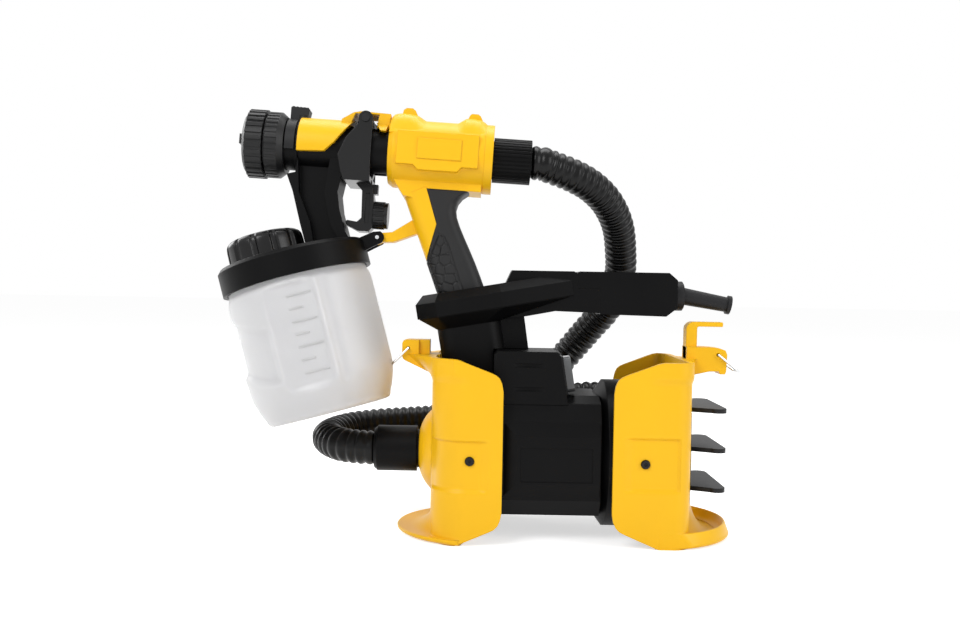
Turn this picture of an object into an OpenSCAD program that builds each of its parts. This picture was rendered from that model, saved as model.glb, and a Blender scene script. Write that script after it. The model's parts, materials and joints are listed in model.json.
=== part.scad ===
// Paint sprayer: a turbine base with a holster, an air hose and a gun with a paint cup.
// Millimetres, +Z up, +X to the intake end, -Y is the front. The floor is Z = 0.

/* [Turbine base] */
// Height of the motor's axis over the floor
axis_z = 67; // [66:0.5:72]
// Half width of the motor housing, front to back
body_half = 56; // [54:1:57]
// Outer radius of the fan section
fan_r = 61; // [59:0.5:61]
// Wall of the housing's shells
housing_wall = 2.6; // [2:0.2:3.2]
// Length of the motor housing
body_len = 130; // [124:2:132]
// Length of the fan section
fan_len = 62; // [60:1:63]
// Radius of the stator
stator_r = 38; // [34:1:40]
// Radius of the armature
armature_r = 21; // [18:1:23]
// Radius of the motor's shaft
shaft_r = 4; // [3:0.5:5]
// Outer radius of the shaft's bearings
bearing_r = 11; // [9:0.5:13]
// Radius of the fan's impellers
impeller_r = 49; // [44:1:50]

/* [Bumpers] */
// Wall of the bumper shells
bumper_wall = 3; // [2.4:0.2:3.4]
// Height of the bumpers' top edge
bumper_top = 147; // [142:1:150]
// Length of the left bumper
left_len = 54; // [50:1:56]
// Length of the right bumper
right_len = 65; // [60:1:68]
// Radius of the scoop that each bumper stands on
foot_r = 70; // [66:1:72]
// Height of the scoop's rim
foot_rim = 13; // [8:1:18]
// Radius of the screws' heads
head_r = 3.3; // [2.6:0.1:4]
// Wire radius of the strap rings
ring_wire = 0.9; // [0.7:0.1:1.2]

/* [Holster and handle] */
// Length of the holster's rim
rim_len = 82; // [78:1:86]
// Width of the holster's rim
rim_width = 66; // [60:1:72]
// Height of the holster's rim
rim_tall = 12; // [8:1:16]
// Tilt of the holster
holster_tilt = 10; // [8:1:12]
// Length of the carry handle
handle_len = 82.5; // [78:0.5:90]
// Height of the carry handle
handle_tall = 35; // [30:1:38]
// Depth of the carry handle
handle_deep = 36; // [30:1:40]
// Length of the cord's sleeve
sleeve_len = 39; // [30:1:42]
// Bore of the cord's sleeve
cord_bore = 7; // [5:0.5:8]

/* [Switch] */
// Height of the switch box's top over the floor
switch_top = 153; // [148:1:158]
// Width of the rocker
rocker_w = 15; // [11:1:17]
// Height of the rocker
rocker_h = 23; // [18:1:25]

/* [Hose] */
// Outer radius of the hose at its ribs
hose_r = 14.4; // [13:0.2:14.6]
// Depth of the grooves between the ribs
rib_depth = 1.6; // [1:0.1:2.2]
// Wall of the hose under its grooves
hose_wall = 1.4; // [1:0.1:2]
// Distance from rib to rib
rib_pitch = 6.8; // [6.6:0.1:9]

/* [Gun] */
// Lean of the gun in its holster, seen from the nozzle
gun_lean = 4; // [2:1:5]
// Barrel's nose up in the holster
gun_pitch = 3; // [2:0.5:4]
// Radius of the barrel
barrel_r = 19.5; // [18.5:0.5:20]
// Radius of the air cap's ring
cap_ring_r = 28.7; // [27:0.5:31]
// Radius of the union nut
nut_r = 27.5; // [26:0.5:30]
// Radius of the needle
needle_r = 2; // [1.5:0.1:2.6]
// Radius of the pin that the trigger turns on
trigger_pin_r = 2; // [1.6:0.1:2.4]
// Radius of the flow knob
knob_r = 11.6; // [9:0.5:12]
// Radius of the rear housing
rear_r = 28.5; // [27:0.5:30]
// Wall of the rear housing's shells
gun_wall = 2.4; // [2:0.2:3]
// Rake of the grip from the barrel
grip_rake = 23; // [22:0.5:24]
// Depth of the grip, front to back
grip_deep = 38.5; // [37:0.5:39]
// Thickness of the grip, side to side
grip_thick = 32; // [29:0.5:33]
// Length of the grip
grip_len = 125; // [122:1:126]
// Thickness of the rubber over the grip's core
rubber = 3.5; // [2.5:0.5:4.5]

/* [Cup] */
// Tilt of the lid and cup from the barrel
cup_tilt = 18.5; // [18:0.5:19]
// Radius of the lid
lid_r = 62.5; // [62:0.5:64]
// Height of the lid
lid_tall = 22; // [20:1:24]
// Height of the cup below the lid
cup_tall = 113; // [105:1:115]
// Wall of the cup
cup_wall = 2; // [1.4:0.2:2.6]
// Radius of the filler cap
filler_r = 32.5; // [30:0.5:33]
// Radius of the suction tube
tube_r = 5; // [4:0.5:6]

/* [Fits] */
// Running clearance of pins and shafts, on the radius
run_fit = 0.05; // [0.02:0.01:0.09]
// Gap between pieces that rest on each other
seat_gap = 0.3; // [0.2:0.05:0.4]

/* [Hidden] */
$fn = 64;
eps = 0.01;
far = 400;          // long enough to cut through anything

// Colours
yellow = "#f8c412";
black = "#1b1b1d";
coal = "#2a2a2d";
steel = "#b9bcc0";
brass = "#c9a14a";
copper = "#b0653a";
clear = [0.85, 0.88, 0.9, 0.45];
milk = [0.9, 0.9, 0.9, 0.75];

// Base places, from the middle of its footprint
base_x = 70.5;
body_x = -104;                      // left end of the housing
cone_x = body_x + body_len;         // where the fan section widens
cone_run = 8;
fan_x = cone_x + cone_run;
fan_end = fan_x + fan_len;
cavity_r = body_half - 10;
fan_cavity_r = fan_r - housing_wall;
bumper_in = fan_r + 0.5;            // inner half width of a bumper
left_end = body_x - seat_gap;       // inner face of the left end wall
right_end = fan_end + seat_gap;     // inner face of the right end wall
left_corner = 26;                   // plan radius of the left bumper's ends
right_corner = 11;
foot_left_x = -66;
foot_right_x = 71;
foot_wide = 66.5;                   // half width at which the scoops are cut flat
foot_rim_angle = 100;               // how far round the outer end the rim runs
screw_left_x = -76;
screw_right_x = 62;
screw_shank_r = 1.5;
screw_len = 6.5;
boss_r = 8;
boss_tall = 13;                     // the hose boss on the left bumper
connector_r = 19;
connector_len = 36;
spigot_r = 15.9;
air_bore_r = 12;
socket_deep = 20;
socket_r = hose_r + seat_gap;

// Motor, from left to right along its axis
stator_x = -30;
stator_len = 48;
plate_x = -56;
plate_len = 9;
bearing_len = 7;
casing_seat = 6;                    // from the cone's end to the fan casing's flange
casing_x = fan_x + casing_seat;
casing_len = 42;
casing_r = impeller_r + 3.5;
casing_hub = 14;
rib_t = 3;
commutator_r = 11;

// Intake cover
end_taper = 9;                      // the fan section narrows at its end
cover_r = 47;
cover_wall = 2.5;
cover_len = 8.5;
fin_reach = 26.3;
fin_root = 30;
fin_half = 42;
fin_round = 7;
fin_t = 3.6;
fin_pitch = 32;
fin_top = 40.3;
grille_half = 37;
grille_wide = 28.5;

// Arms, hook and strap rings
arm_half = 10;
left_arm_x = -134;
left_arm_z = 159;
right_arm_x = 136.4;
right_arm_z = 157;
arm_drop = 13;
eyelet_left = [-128.9, 152];
eyelet_right = [128.9, 150.7];
left_ring_len = 20;
right_ring_len = 22.5;
left_ring_angle = 45;
right_ring_angle = 38.6;
hook_x = 102.6;
hook_z = 177.8;
hook_reach = 30.5;
hook_t = 3.9;
hook_half = 6.5;

// Holster and handle
holster_x = -80;
holster_z = 179;
tube_len = 53;
tube_width = 48;
tube_wall = 3;
bridge_x = 10;
bridge_step = 19;
handle_z = 183;
handle_end = bridge_x + handle_len;
strut_x = [-52, -32];
collar_r = 12.3;
collar_len = 7.5;
sleeve_r = 7.2;
sleeve_tip_r = 6.2;
sleeve_z = 199;
sleeve_droop = 10;

// Switch box
box_x = [-58, -5];
box_y = [-48, 8];
switch_y = -20;
switch_z = switch_top - 20;
switch_tilt = 9.2;
rocker_rest = 7;                    // it rests pressed in at one end

// Gun places, in its own frame: x runs back along the barrel from the air cap's face
gun_x = -269;
gun_z = 321.6;
lean_z = 215;
spigot_nose_r = 20;
nose_x = [7, 37];
collar_x = [44.5, 50];
barrel_end = 165;
air_r = 14;
shell_r = barrel_r + 5;
shell_x = [46.5, 121];
pivot = [101.6, 23.6];
plate_in = barrel_r + 1;
plate_t = 3;
bar_x = [99.5, 111.3];
bar_foot = -68;
knob_z = -53.3;
knob_len = 12;
rear_x = [121.5, 208];
grip_at = [154, -29];
core_deep = grip_deep - 2 * rubber;
core_thick = grip_thick - 2 * rubber;
gun_connector_r = 18.7;
gun_connector_len = 32;
gun_spigot_r = 16;

// Lid frame: its origin is the middle of the lid, w runs up the cup's axis
lid_at = [48.6, -103];
lid_top = lid_tall / 2;
lid_deck = 6;
lid_skirt = 3.5;
cup_r = lid_r - lid_skirt - seat_gap;
gasket_t = 1.2;
filler_u = -19;
filler_side = 17;
filler_tall = 24;
filler_hole = 25;
turn_gap = 0.04;                    // lets the cup and the filler cap turn on their seats
tube_u = 34;
lug_u = 74;
lug_w = 7.5;
lug_r = 5.6;
lug_gap = 5;
lug_t = 3;
brace_pin_r = 1.6;

module at_base() translate([base_x, 0, 0]) children();
module at_motor() translate([base_x, 0, axis_z]) rotate([0, 90, 0]) children();
module at_gun()
    translate([base_x + gun_x, 0, lean_z]) rotate([-gun_lean, 0, 0])
    translate([0, 0, gun_z - lean_z]) rotate([0, gun_pitch, 0]) children();
module at_barrel() at_gun() rotate([0, 90, 0]) children();
module at_grip() at_gun() translate([grip_at[0], 0, grip_at[1]]) rotate([0, -grip_rake, 0]) children();
module at_lid() at_gun() translate([lid_at[0], 0, lid_at[1]]) rotate([0, -cup_tilt, 0]) children();
module at_holster()
    translate([base_x + holster_x, 0, holster_z]) rotate([0, -holster_tilt, 0]) children();
module at_switch()
    translate([base_x + box_x[1] + 3.2, switch_y, switch_z]) rotate([0, -switch_tilt, 0]) children();

// An outline in X and Z, made as thick as from y0 to y1
module slab(y0, y1) translate([0, y1, 0]) rotate([90, 0, 0]) linear_extrude(y1 - y0) children();
// A pin or hole along Y
module along_y(r, y0, y1) translate([0, y0, 0]) rotate([-90, 0, 0]) cylinder(r = r, h = y1 - y0);
// A cylinder along X
module along_x(r, x0, x1) translate([x0, 0, 0]) rotate([0, 90, 0]) cylinder(r = r, h = x1 - x0);
module ring(r_out, r_in, z0, z1)
    translate([0, 0, z0]) difference() {
        cylinder(r = r_out, h = z1 - z0);
        translate([0, 0, -1]) cylinder(r = r_in, h = z1 - z0 + 2);
    }
// A rectangle with round corners about the origin
module round_rect(w, d, r) {
    square([w - 2 * r, d], center = true);
    square([w, d - 2 * r], center = true);
    for (x = [-1, 1], y = [-1, 1]) translate([x * (w / 2 - r), y * (d / 2 - r)]) circle(r = r);
}
module front_side() translate([-far, -far, -far]) cube([2 * far, far, 2 * far]);
module back_side() translate([-far, 0, -far]) cube([2 * far, far, 2 * far]);
// A wheel with ribs round its rim
module ribbed(r, depth, count, rib)
    difference() {
        circle(r = r);
        for (i = [0:count - 1]) rotate(i * 360 / count)
            translate([r - depth, -(PI * r / count - rib / 2)]) square([depth + 1, 2 * PI * r / count - rib]);
    }

// ---------- turbine base ----------

// The housing's outline across the motor, in Y and Z about its axis
module body_section() {
    half = body_half;
    up = 50;
    down = 50.5;
    polygon([
        [-half, 31], [-half + 9, 45], [-half + 26, up], [half - 26, up], [half - 9, 45], [half, 31],
        [half, -31], [half - 11, -45], [half - 36, -down], [-half + 36, -down], [-half + 11, -45],
        [-half, -31]
    ]);
}
module body_prism()
    at_base() translate([body_x, 0, axis_z]) rotate([90, 0, 90]) linear_extrude(body_len + 2) body_section();

panel_x = [-49, 27];
panel_z = [39, 97];
panel_bevel = 10;
panel_out = 4;
module front_panel()
    at_base() difference() {
        intersection() {
            slab(-body_half - panel_out, -body_half + 6) polygon([
                [panel_x[0], panel_z[0]], [panel_x[1], panel_z[0]],
                [panel_x[1], panel_z[1]], [panel_x[0], panel_z[1]]
            ]);
            translate([0, 0, panel_z[0]]) linear_extrude(panel_z[1] - panel_z[0]) polygon([
                [panel_x[0], -body_half], [panel_x[0] + panel_bevel, -body_half - panel_out],
                [panel_x[1], -body_half - panel_out], [panel_x[1], -body_half + 6],
                [panel_x[0], -body_half + 6]
            ]);
            translate([panel_x[0],
                0, 0]) rotate([90, 0, 90]) linear_extrude(panel_x[1] - panel_x[0]) polygon([
                [-body_half, panel_z[0]], [-body_half - panel_out, panel_z[0] + panel_bevel],
                [-body_half - panel_out, panel_z[1] - panel_bevel], [-body_half, panel_z[1]],
                [-body_half + 6, panel_z[1]], [-body_half + 6, panel_z[0]]
            ]);
        }
        // the bare frame where a badge would sit
        translate([-36, -body_half - panel_out - 1, 51]) cube([57, 1.8, 27]);
    }

module housing_shell() {
    difference() {
        union() {
            intersection() {
                union() {
                    body_prism();
                    at_base() translate([screw_left_x, 0, axis_z]) along_y(boss_r, -bumper_in, bumper_in);
                }
                at_base() translate([left_end, 0, 0]) scale([-1, 1, 1])
                    linear_extrude(far) bumper_plan(far, left_corner, -seat_gap);
            }
            at_motor() rotate_extrude() polygon([
                [0, cone_x - 2], [housing_in, cone_x - 2], [housing_in, cone_x], [fan_r, fan_x],
                [fan_r, fan_end - end_taper - 2], [fan_r - end_taper, fan_end], [0, fan_end]
            ]);
            front_panel();
            at_base() translate([screw_right_x, 0, axis_z]) along_y(boss_r, -bumper_in, bumper_in);
        }
        at_motor() rotate_extrude() polygon([
            [0, body_x + housing_wall], [cavity_r, body_x + housing_wall], [cavity_r, cone_x + 2],
            [fan_cavity_r, fan_x + 2], [fan_cavity_r, fan_end - end_taper - 3],
            [fan_cavity_r - end_taper, fan_end], [fan_cavity_r - end_taper, fan_end + 1], [0, fan_end + 1]
        ]);
        at_base() translate([0, 0, axis_z])
            along_x(spigot_r + run_fit, body_x - 1, body_x + housing_wall + 1);
        for (x = [screw_left_x, screw_right_x], s = [-1, 1])
            at_base() translate([x, 0, axis_z]) scale([1, s, 1])
                along_y(screw_shank_r, bumper_in - screw_len, bumper_in + 1);
    }
    // rings that hold the motor, and the seat of the intake cover
    difference() {
        union() {
            at_motor() ring(cavity_r + 1, stator_r + run_fit, stator_x + 4, stator_x + 4 + rib_t);
            at_motor() ring(cavity_r + 1, stator_r + run_fit, stator_x + stator_len - 8,
                stator_x + stator_len - 8 + rib_t);
            at_motor() ring(cavity_r + 1, stator_r + run_fit, plate_x + 2, plate_x + 2 + rib_t);
            at_motor() ring(fan_cavity_r - end_taper + 1, cover_r - 6, fan_end - rib_t, fan_end);
            // bosses inside for the right bumper's screws
            for (s = [-1, 1]) at_base() translate([screw_right_x, 0, axis_z]) scale([1, s, 1])
                along_y(5, casing_r + 1.5, fan_cavity_r + 1);
        }
        for (s = [-1, 1]) at_base() translate([screw_right_x, 0, axis_z]) scale([1, s, 1])
            along_y(screw_shank_r, bumper_in - screw_len, bumper_in + 1);
        // the rings give way to the screws' bosses and open for the air
        for (a = [45, 135, 225, 315]) at_motor() rotate(a) translate([stator_r + 4, -4, -far])
            cube([20, 8, far + cone_x]);
    }
}
housing_in = 50;

module housing_front() color(black) intersection() {
    housing_shell();
    front_side();
}
module housing_back() color(black) intersection() {
    housing_shell();
    back_side();
}

// The drum round both impellers, with the hub that holds the fan side's bearing
module fan_casing() color(steel) at_motor() {
    difference() {
        union() {
            translate([0, 0, casing_x]) cylinder(r = casing_r, h = casing_len);
            // flange that seats in the housing
            translate([0, 0, casing_x]) cylinder(r = fan_cavity_r - seat_gap, h = 3);
            translate([0, 0, casing_x - casing_hub]) cylinder(r = bearing_r + 4, h = casing_hub + eps);
        }
        translate([0, 0, casing_x + 2.5]) cylinder(r = casing_r - 2, h = casing_len - 5);
        translate([0, 0, casing_x + casing_len - 5]) cylinder(r = 19, h = 10);
        translate([0, 0, casing_x - casing_hub - 1]) cylinder(r = bearing_r + run_fit, h = bearing_len + 1);
        translate([0, 0, casing_x - casing_hub]) cylinder(r = shaft_r + 2, h = casing_hub + 5);
        for (i = [0:7]) rotate(i * 45 + 22.5) translate([casing_r - 14, 0, casing_x - 1])
            cylinder(r = 5, h = 5);
    }
}

module motor_stator() color(steel) at_motor() difference() {
    translate([0, 0, stator_x]) cylinder(r = stator_r, h = stator_len);
    translate([0, 0, stator_x - 1]) cylinder(r = armature_r + 1, h = stator_len + 2);
    // the slots that the field coils lie in
    for (a = [0, 180]) rotate(a) translate([armature_r - 2, -9, stator_x - 1]) cube([9, 18, stator_len + 2]);
}

// Holds the far bearing and the two brushes
brush = [8, 6.4, 6.4];
brush_z = plate_x + plate_len + 4;
module motor_end_plate() color(coal) at_motor() difference() {
    union() {
        translate([0, 0, plate_x]) cylinder(r = stator_r, h = plate_len);
        for (a = [0, 180]) rotate(a) translate([commutator_r + 2, -5, plate_x + plate_len - eps])
            cube([16, 10, 13]);
    }
    translate([0, 0, plate_x + plate_len - bearing_len])
        cylinder(r = bearing_r + run_fit, h = bearing_len + 1);
    translate([0, 0, plate_x - 1]) cylinder(r = shaft_r + 1, h = plate_len + 2);
    for (i = [0:5]) rotate(i * 60 + 30) translate([27, 0, plate_x - 1]) cylinder(r = 6, h = plate_len + 2);
    for (a = [0, 180]) rotate(a)
        translate([commutator_r, -brush[1] / 2 - 0.1, brush_z - 0.1])
        cube([brush[0] + 4, brush[1] + 0.2, brush[2] + 0.2]);
}

module ball_bearings() color(steel) at_motor() {
    for (z = [plate_x + plate_len - bearing_len, casing_x - casing_hub])
        ring(bearing_r, shaft_r + run_fit, z, z + bearing_len);
}

module carbon_brushes() color(coal) at_motor() for (a = [0, 180]) rotate(a)
    translate([commutator_r + 0.2, -brush[1] / 2, brush_z]) cube(brush);

module armature() color(copper) at_motor() difference() {
    union() {
        translate([0, 0, stator_x + 3]) linear_extrude(stator_len - 6) ribbed(armature_r, 1.5, 12, 7);
        translate([0, 0, stator_x - 4]) cylinder(r = armature_r - 4, h = stator_len + 8);
        translate([0, 0, brush_z - 2]) cylinder(r = commutator_r, h = stator_x - 4 - brush_z + 2 + eps);
    }
    translate([0, 0, -far]) cylinder(r = shaft_r + 0.02, h = 2 * far);
}
module motor_shaft() color(steel) at_motor()
    translate([0, 0, plate_x + 1]) cylinder(r = shaft_r, h = casing_x + casing_len - 8 - plate_x);

impeller_t = 12;
module fan_impellers() color(steel) at_motor()
    for (z = [casing_x + 6, casing_x + 6 + impeller_t + 3]) difference() {
        union() {
            translate([0, 0, z]) cylinder(r = impeller_r, h = 1.5);
            translate([0, 0, z]) cylinder(r = shaft_r + 4, h = impeller_t);
            for (i = [0:7]) rotate(i * 45) translate([shaft_r + 8, -1, z])
                rotate([0, 0, 18]) cube([impeller_r - shaft_r - 14, 1.6, impeller_t - 2]);
        }
        translate([0, 0, z - 1]) cylinder(r = shaft_r + 0.02, h = impeller_t + 2);
    }

// Cover of the air intake, with three fins that end in a bead
module intake_cover() color(coal) {
    at_motor() difference() {
        union() {
            translate([0, 0, fan_end]) cylinder(r = cover_r, h = cover_len - 3.5);
            translate([-grille_half, -grille_wide, fan_end])
                cube([2 * grille_half, 2 * grille_wide, cover_len]);
            for (i = [0:2]) translate([-fin_top + i * fin_pitch, 0, 0]) intake_fin();
        }
        intersection() {
            translate([0, 0, fan_end - 1]) cylinder(r = cover_r - cover_wall, h = cover_len - cover_wall + 1);
            union() {
                translate([0, 0, fan_end - 1]) cylinder(r = cover_r, h = cover_len - 3.5 - cover_wall + 1);
                translate([cover_wall - grille_half, cover_wall - grille_wide, fan_end - 1])
                    cube([2 * (grille_half - cover_wall), 2 * (grille_wide - cover_wall),
                        cover_len - cover_wall + 1]);
            }
        }
        // slots that let the air in
        for (row = [0:1], y = [-24:8:24]) translate([-fin_top + row * fin_pitch + 7, y - 2, fan_end])
            cube([18, 4, far]);
    }
}
module intake_fin() {
    root = fan_end + cover_len - 4.5;
    tip = fan_end + cover_len + fin_reach;
    translate([-fin_t / 2, 0, 0]) rotate([0, 90, 0]) linear_extrude(fin_t) union() {
        polygon([
            [-root, -fin_root], [-root, fin_root], [-tip + fin_round, fin_half],
            [-tip + fin_round, -fin_half]
        ]);
        translate([-tip, fin_round - fin_half]) square([fin_round + eps, 2 * fin_half - 2 * fin_round]);
        for (s = [-1, 1]) translate([-tip + fin_round, s * (fin_half - fin_round)]) circle(r = fin_round);
    }
}
module intake_filter() color("#3b3f45") at_motor() intersection() {
    high = grille_half - cover_wall - seat_gap;
    wide = grille_wide - cover_wall - seat_gap;
    translate([-high, -wide, fan_end + seat_gap])
        cube([2 * high, 2 * wide, cover_len - cover_wall - 2 * seat_gap]);
    cylinder(r = cover_r - cover_wall - seat_gap, h = far);
}

// ---------- bumpers ----------

// Plan of a bumper about its inner end wall: x runs out of the base
module bumper_plan(len, corner, grow) {
    half = bumper_in + grow;
    r = corner + grow;
    translate([-len - 1, -half]) square([len + 1 + grow - r, 2 * half]);
    translate([grow - r - eps, -half + r]) square([r + eps, 2 * half - 2 * r]);
    for (s = [-1, 1]) translate([grow - r, s * (half - r)]) circle(r = r);
}
// Front outline of a bumper: slanted corners at the top and bottom of its inner edge
module bumper_front(len) polygon([
    [-len, 24], [-len + 3, 17], [-len + 9, 13], [-len + 38, -1], [far, -1], [far, bumper_top],
    [-len + 36, bumper_top], [-len + 8, bumper_top - 12], [-len + 2, bumper_top - 16],
    [-len, bumper_top - 22]
]);
module bumper_shell(len, corner, foot_in) {
    difference() {
        union() {
            intersection() {
                linear_extrude(bumper_top) bumper_plan(len, corner, bumper_wall);
                slab(-far, far) bumper_front(len);
            }
            translate([-foot_in, 0, 0]) intersection() {
                union() {
                    rotate_extrude() foot_profile();
                    rotate(-foot_rim_angle / 2) rotate_extrude(angle = foot_rim_angle) rim_profile();
                }
                translate([0, -foot_wide, 0]) cube([far, 2 * foot_wide, far]);
            }
        }
        translate([0, 0, bumper_wall]) linear_extrude(bumper_top) bumper_plan(len, corner, 0);
        translate([-len - foot_r - 1, -far, -1]) cube([foot_r + 1, 2 * far, far]);
    }
}
// Section of the scoop from its middle out: a skirt that sweeps down to a flat lip
module foot_profile() {
    r = foot_r;
    polygon([
        [0, 0], [r - 8, 0], [r - 3, 0.8], [r, 2.6], [r + 0.3, 4.2], [r - 1, 5], [r - 6, 4.6], [r - 13, 4.4],
        [r - 19, 6.5], [r - 25, 11], [r - 29, 18], [r - 31.5, 27],
        [r - 32.5, 38], [r - 36, 38], [r - 36, bumper_wall], [0, bumper_wall]
    ]);
}
// The rim that stands up along the outer end of a scoop
module rim_profile() {
    r = foot_r;
    polygon([
        [r - 4, 2], [r - 0.5, 3], [r + 1, foot_rim], [r - 1.6, foot_rim], [r - 3.6, 7.5], [r - 6.5, 4],
        [r - 6, 3]
    ]);
}
module screw_seat(x, len) at_base() translate([x, 0, axis_z]) for (s = [-1, 1]) scale([1, s, 1]) {
    along_y(screw_shank_r + 0.2, bumper_in - 1, bumper_in + len);
    along_y(head_r + 0.3, bumper_in + 1, bumper_in + len);
}

module arm_eyelet(at) translate([at[0], 0, at[1]]) along_y(ring_wire + run_fit, -far, far);

module left_bumper() color(yellow) difference() {
    union() {
        at_base() translate([left_end, 0, 0]) scale([-1, 1, 1])
            bumper_shell(left_len, left_corner, foot_left_x - left_end);
        at_base() translate([0, 0, axis_z])
            along_x(34, left_end - bumper_wall - boss_tall, left_end + eps - bumper_wall);
        at_base() slab(-arm_half, arm_half) polygon([
            [left_end, bumper_top - 14], [left_arm_x + 2, left_arm_z - arm_drop - 1],
            [left_arm_x, left_arm_z - arm_drop + 2],
            [left_arm_x, left_arm_z - 3], [left_arm_x + 4, left_arm_z], [left_end - 6, left_arm_z],
            [left_end - 6, bumper_top], [left_end, bumper_top]
        ]);
    }
    at_base() translate([left_end - 12, -arm_half + bumper_wall, bumper_top]) cube([12, far, far]);
    at_base() translate([0, 0, axis_z])
        along_x(spigot_r + seat_gap, left_end - 50, left_end + 1);
    at_base() arm_eyelet(eyelet_left);
    screw_seat(screw_left_x, 10);
}

module right_bumper() color(yellow) difference() {
    union() {
        at_base() translate([right_end, 0, 0])
            bumper_shell(right_len, right_corner, right_end - foot_right_x);
        at_base() slab(-arm_half, arm_half) polygon([
            [right_end, bumper_top - 16], [right_arm_x - 15, right_arm_z - 20.3],
            [right_arm_x - 7, right_arm_z - 20],
            [right_arm_x - 5.5, right_arm_z - 22.4], [right_arm_x - 1.5, right_arm_z - 22.4],
            [right_arm_x - 0.6, right_arm_z - 20], [right_arm_x, right_arm_z - 6],
            [right_arm_x - 1.5, right_arm_z - 2.5], [right_arm_x - 7, right_arm_z - 0.6],
            [right_arm_x - 16, right_arm_z],
            [right_end - 4, right_arm_z], [right_end - 4, bumper_top - 5], [right_end, bumper_top - 8]
        ]);
        at_base() slab(-hook_half, hook_half) polygon([
            [hook_x, right_arm_z - 15], [hook_x, hook_z - 6], [hook_x + 1.5, hook_z - 2.5],
            [hook_x + 5, hook_z],
            [hook_x + hook_reach, hook_z],
            [hook_x + hook_reach, hook_z - hook_t], [hook_x + 9, hook_z - hook_t],
            [hook_x + 9, right_arm_z - 15]
        ]);
    }
    at_base() translate([0, 0, axis_z]) along_x(cover_r + 1.5, right_end - 1, right_end + 45);
    at_base() arm_eyelet(eyelet_right);
    screw_seat(screw_right_x, 10);
}

module bumper_screws() color(coal)
    for (x = [screw_left_x, screw_right_x], s = [-1, 1])
        at_base() translate([x, 0, axis_z]) scale([1, s, 1]) {
            along_y(screw_shank_r, bumper_in - screw_len + 1, bumper_in + 1 + eps);
            difference() {
                along_y(head_r, bumper_in + 1, bumper_in + 2.6);
                rotate([-90, 0, 0]) translate([0, 0, bumper_in + 1.6]) cylinder(r = 1.5, h = 2, $fn = 6);
            }
        }

// A bail of wire whose ends turn in the arm's eyelets, mitred where it bends
ring_bevel = 4;
function ring_path(len) = let (side = arm_half + 1 + 1.5 * ring_wire, b = ring_bevel) [
    [0, -arm_half - seat_gap], [0, -side], [len - b, -side], [len, b - side],
    [len, side - b], [len - b, side], [0, side], [0, arm_half + seat_gap]
];
function turned(a, b) = atan2(b[1], b[0]) - atan2(a[1], a[0]);
function turn_at(p, i) = i == 0 || i == len(p) - 1 ? 0
    : let (t = turned(p[i] - p[i - 1], p[i + 1] - p[i])) t - 360 * round(t / 360);
module strap_ring(reach) {
    p = ring_path(reach);
    h = 2 * ring_wire;
    for (s = [-1, 1]) scale([1, s, 1]) along_y(ring_wire, arm_half - 5, arm_half + seat_gap);
    for (i = [0:len(p) - 2]) {
        d = p[i + 1] - p[i];
        back = h * tan(turn_at(p, i) / 2);
        fore = h * tan(turn_at(p, i + 1) / 2);
        translate([p[i][0], p[i][1], 0]) rotate([0, 0, atan2(d[1], d[0])]) intersection() {
            along_x(ring_wire + 0.1, -h, norm(d) + h, $fn = 8);
            translate([0, 0, -h]) linear_extrude(2 * h)
                polygon([[-back, -h], [norm(d) + fore, -h], [norm(d) - fore, h], [back, h]]);
        }
    }
}
module left_strap_ring() color(steel) at_base() translate([eyelet_left[0], 0, eyelet_left[1]])
    rotate([0, 180 - left_ring_angle, 0]) strap_ring(left_ring_len);
module right_strap_ring() color(steel) at_base() translate([eyelet_right[0], 0, eyelet_right[1]])
    rotate([0, right_ring_angle, 0]) strap_ring(right_ring_len);

// ---------- holster and handle ----------

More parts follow.
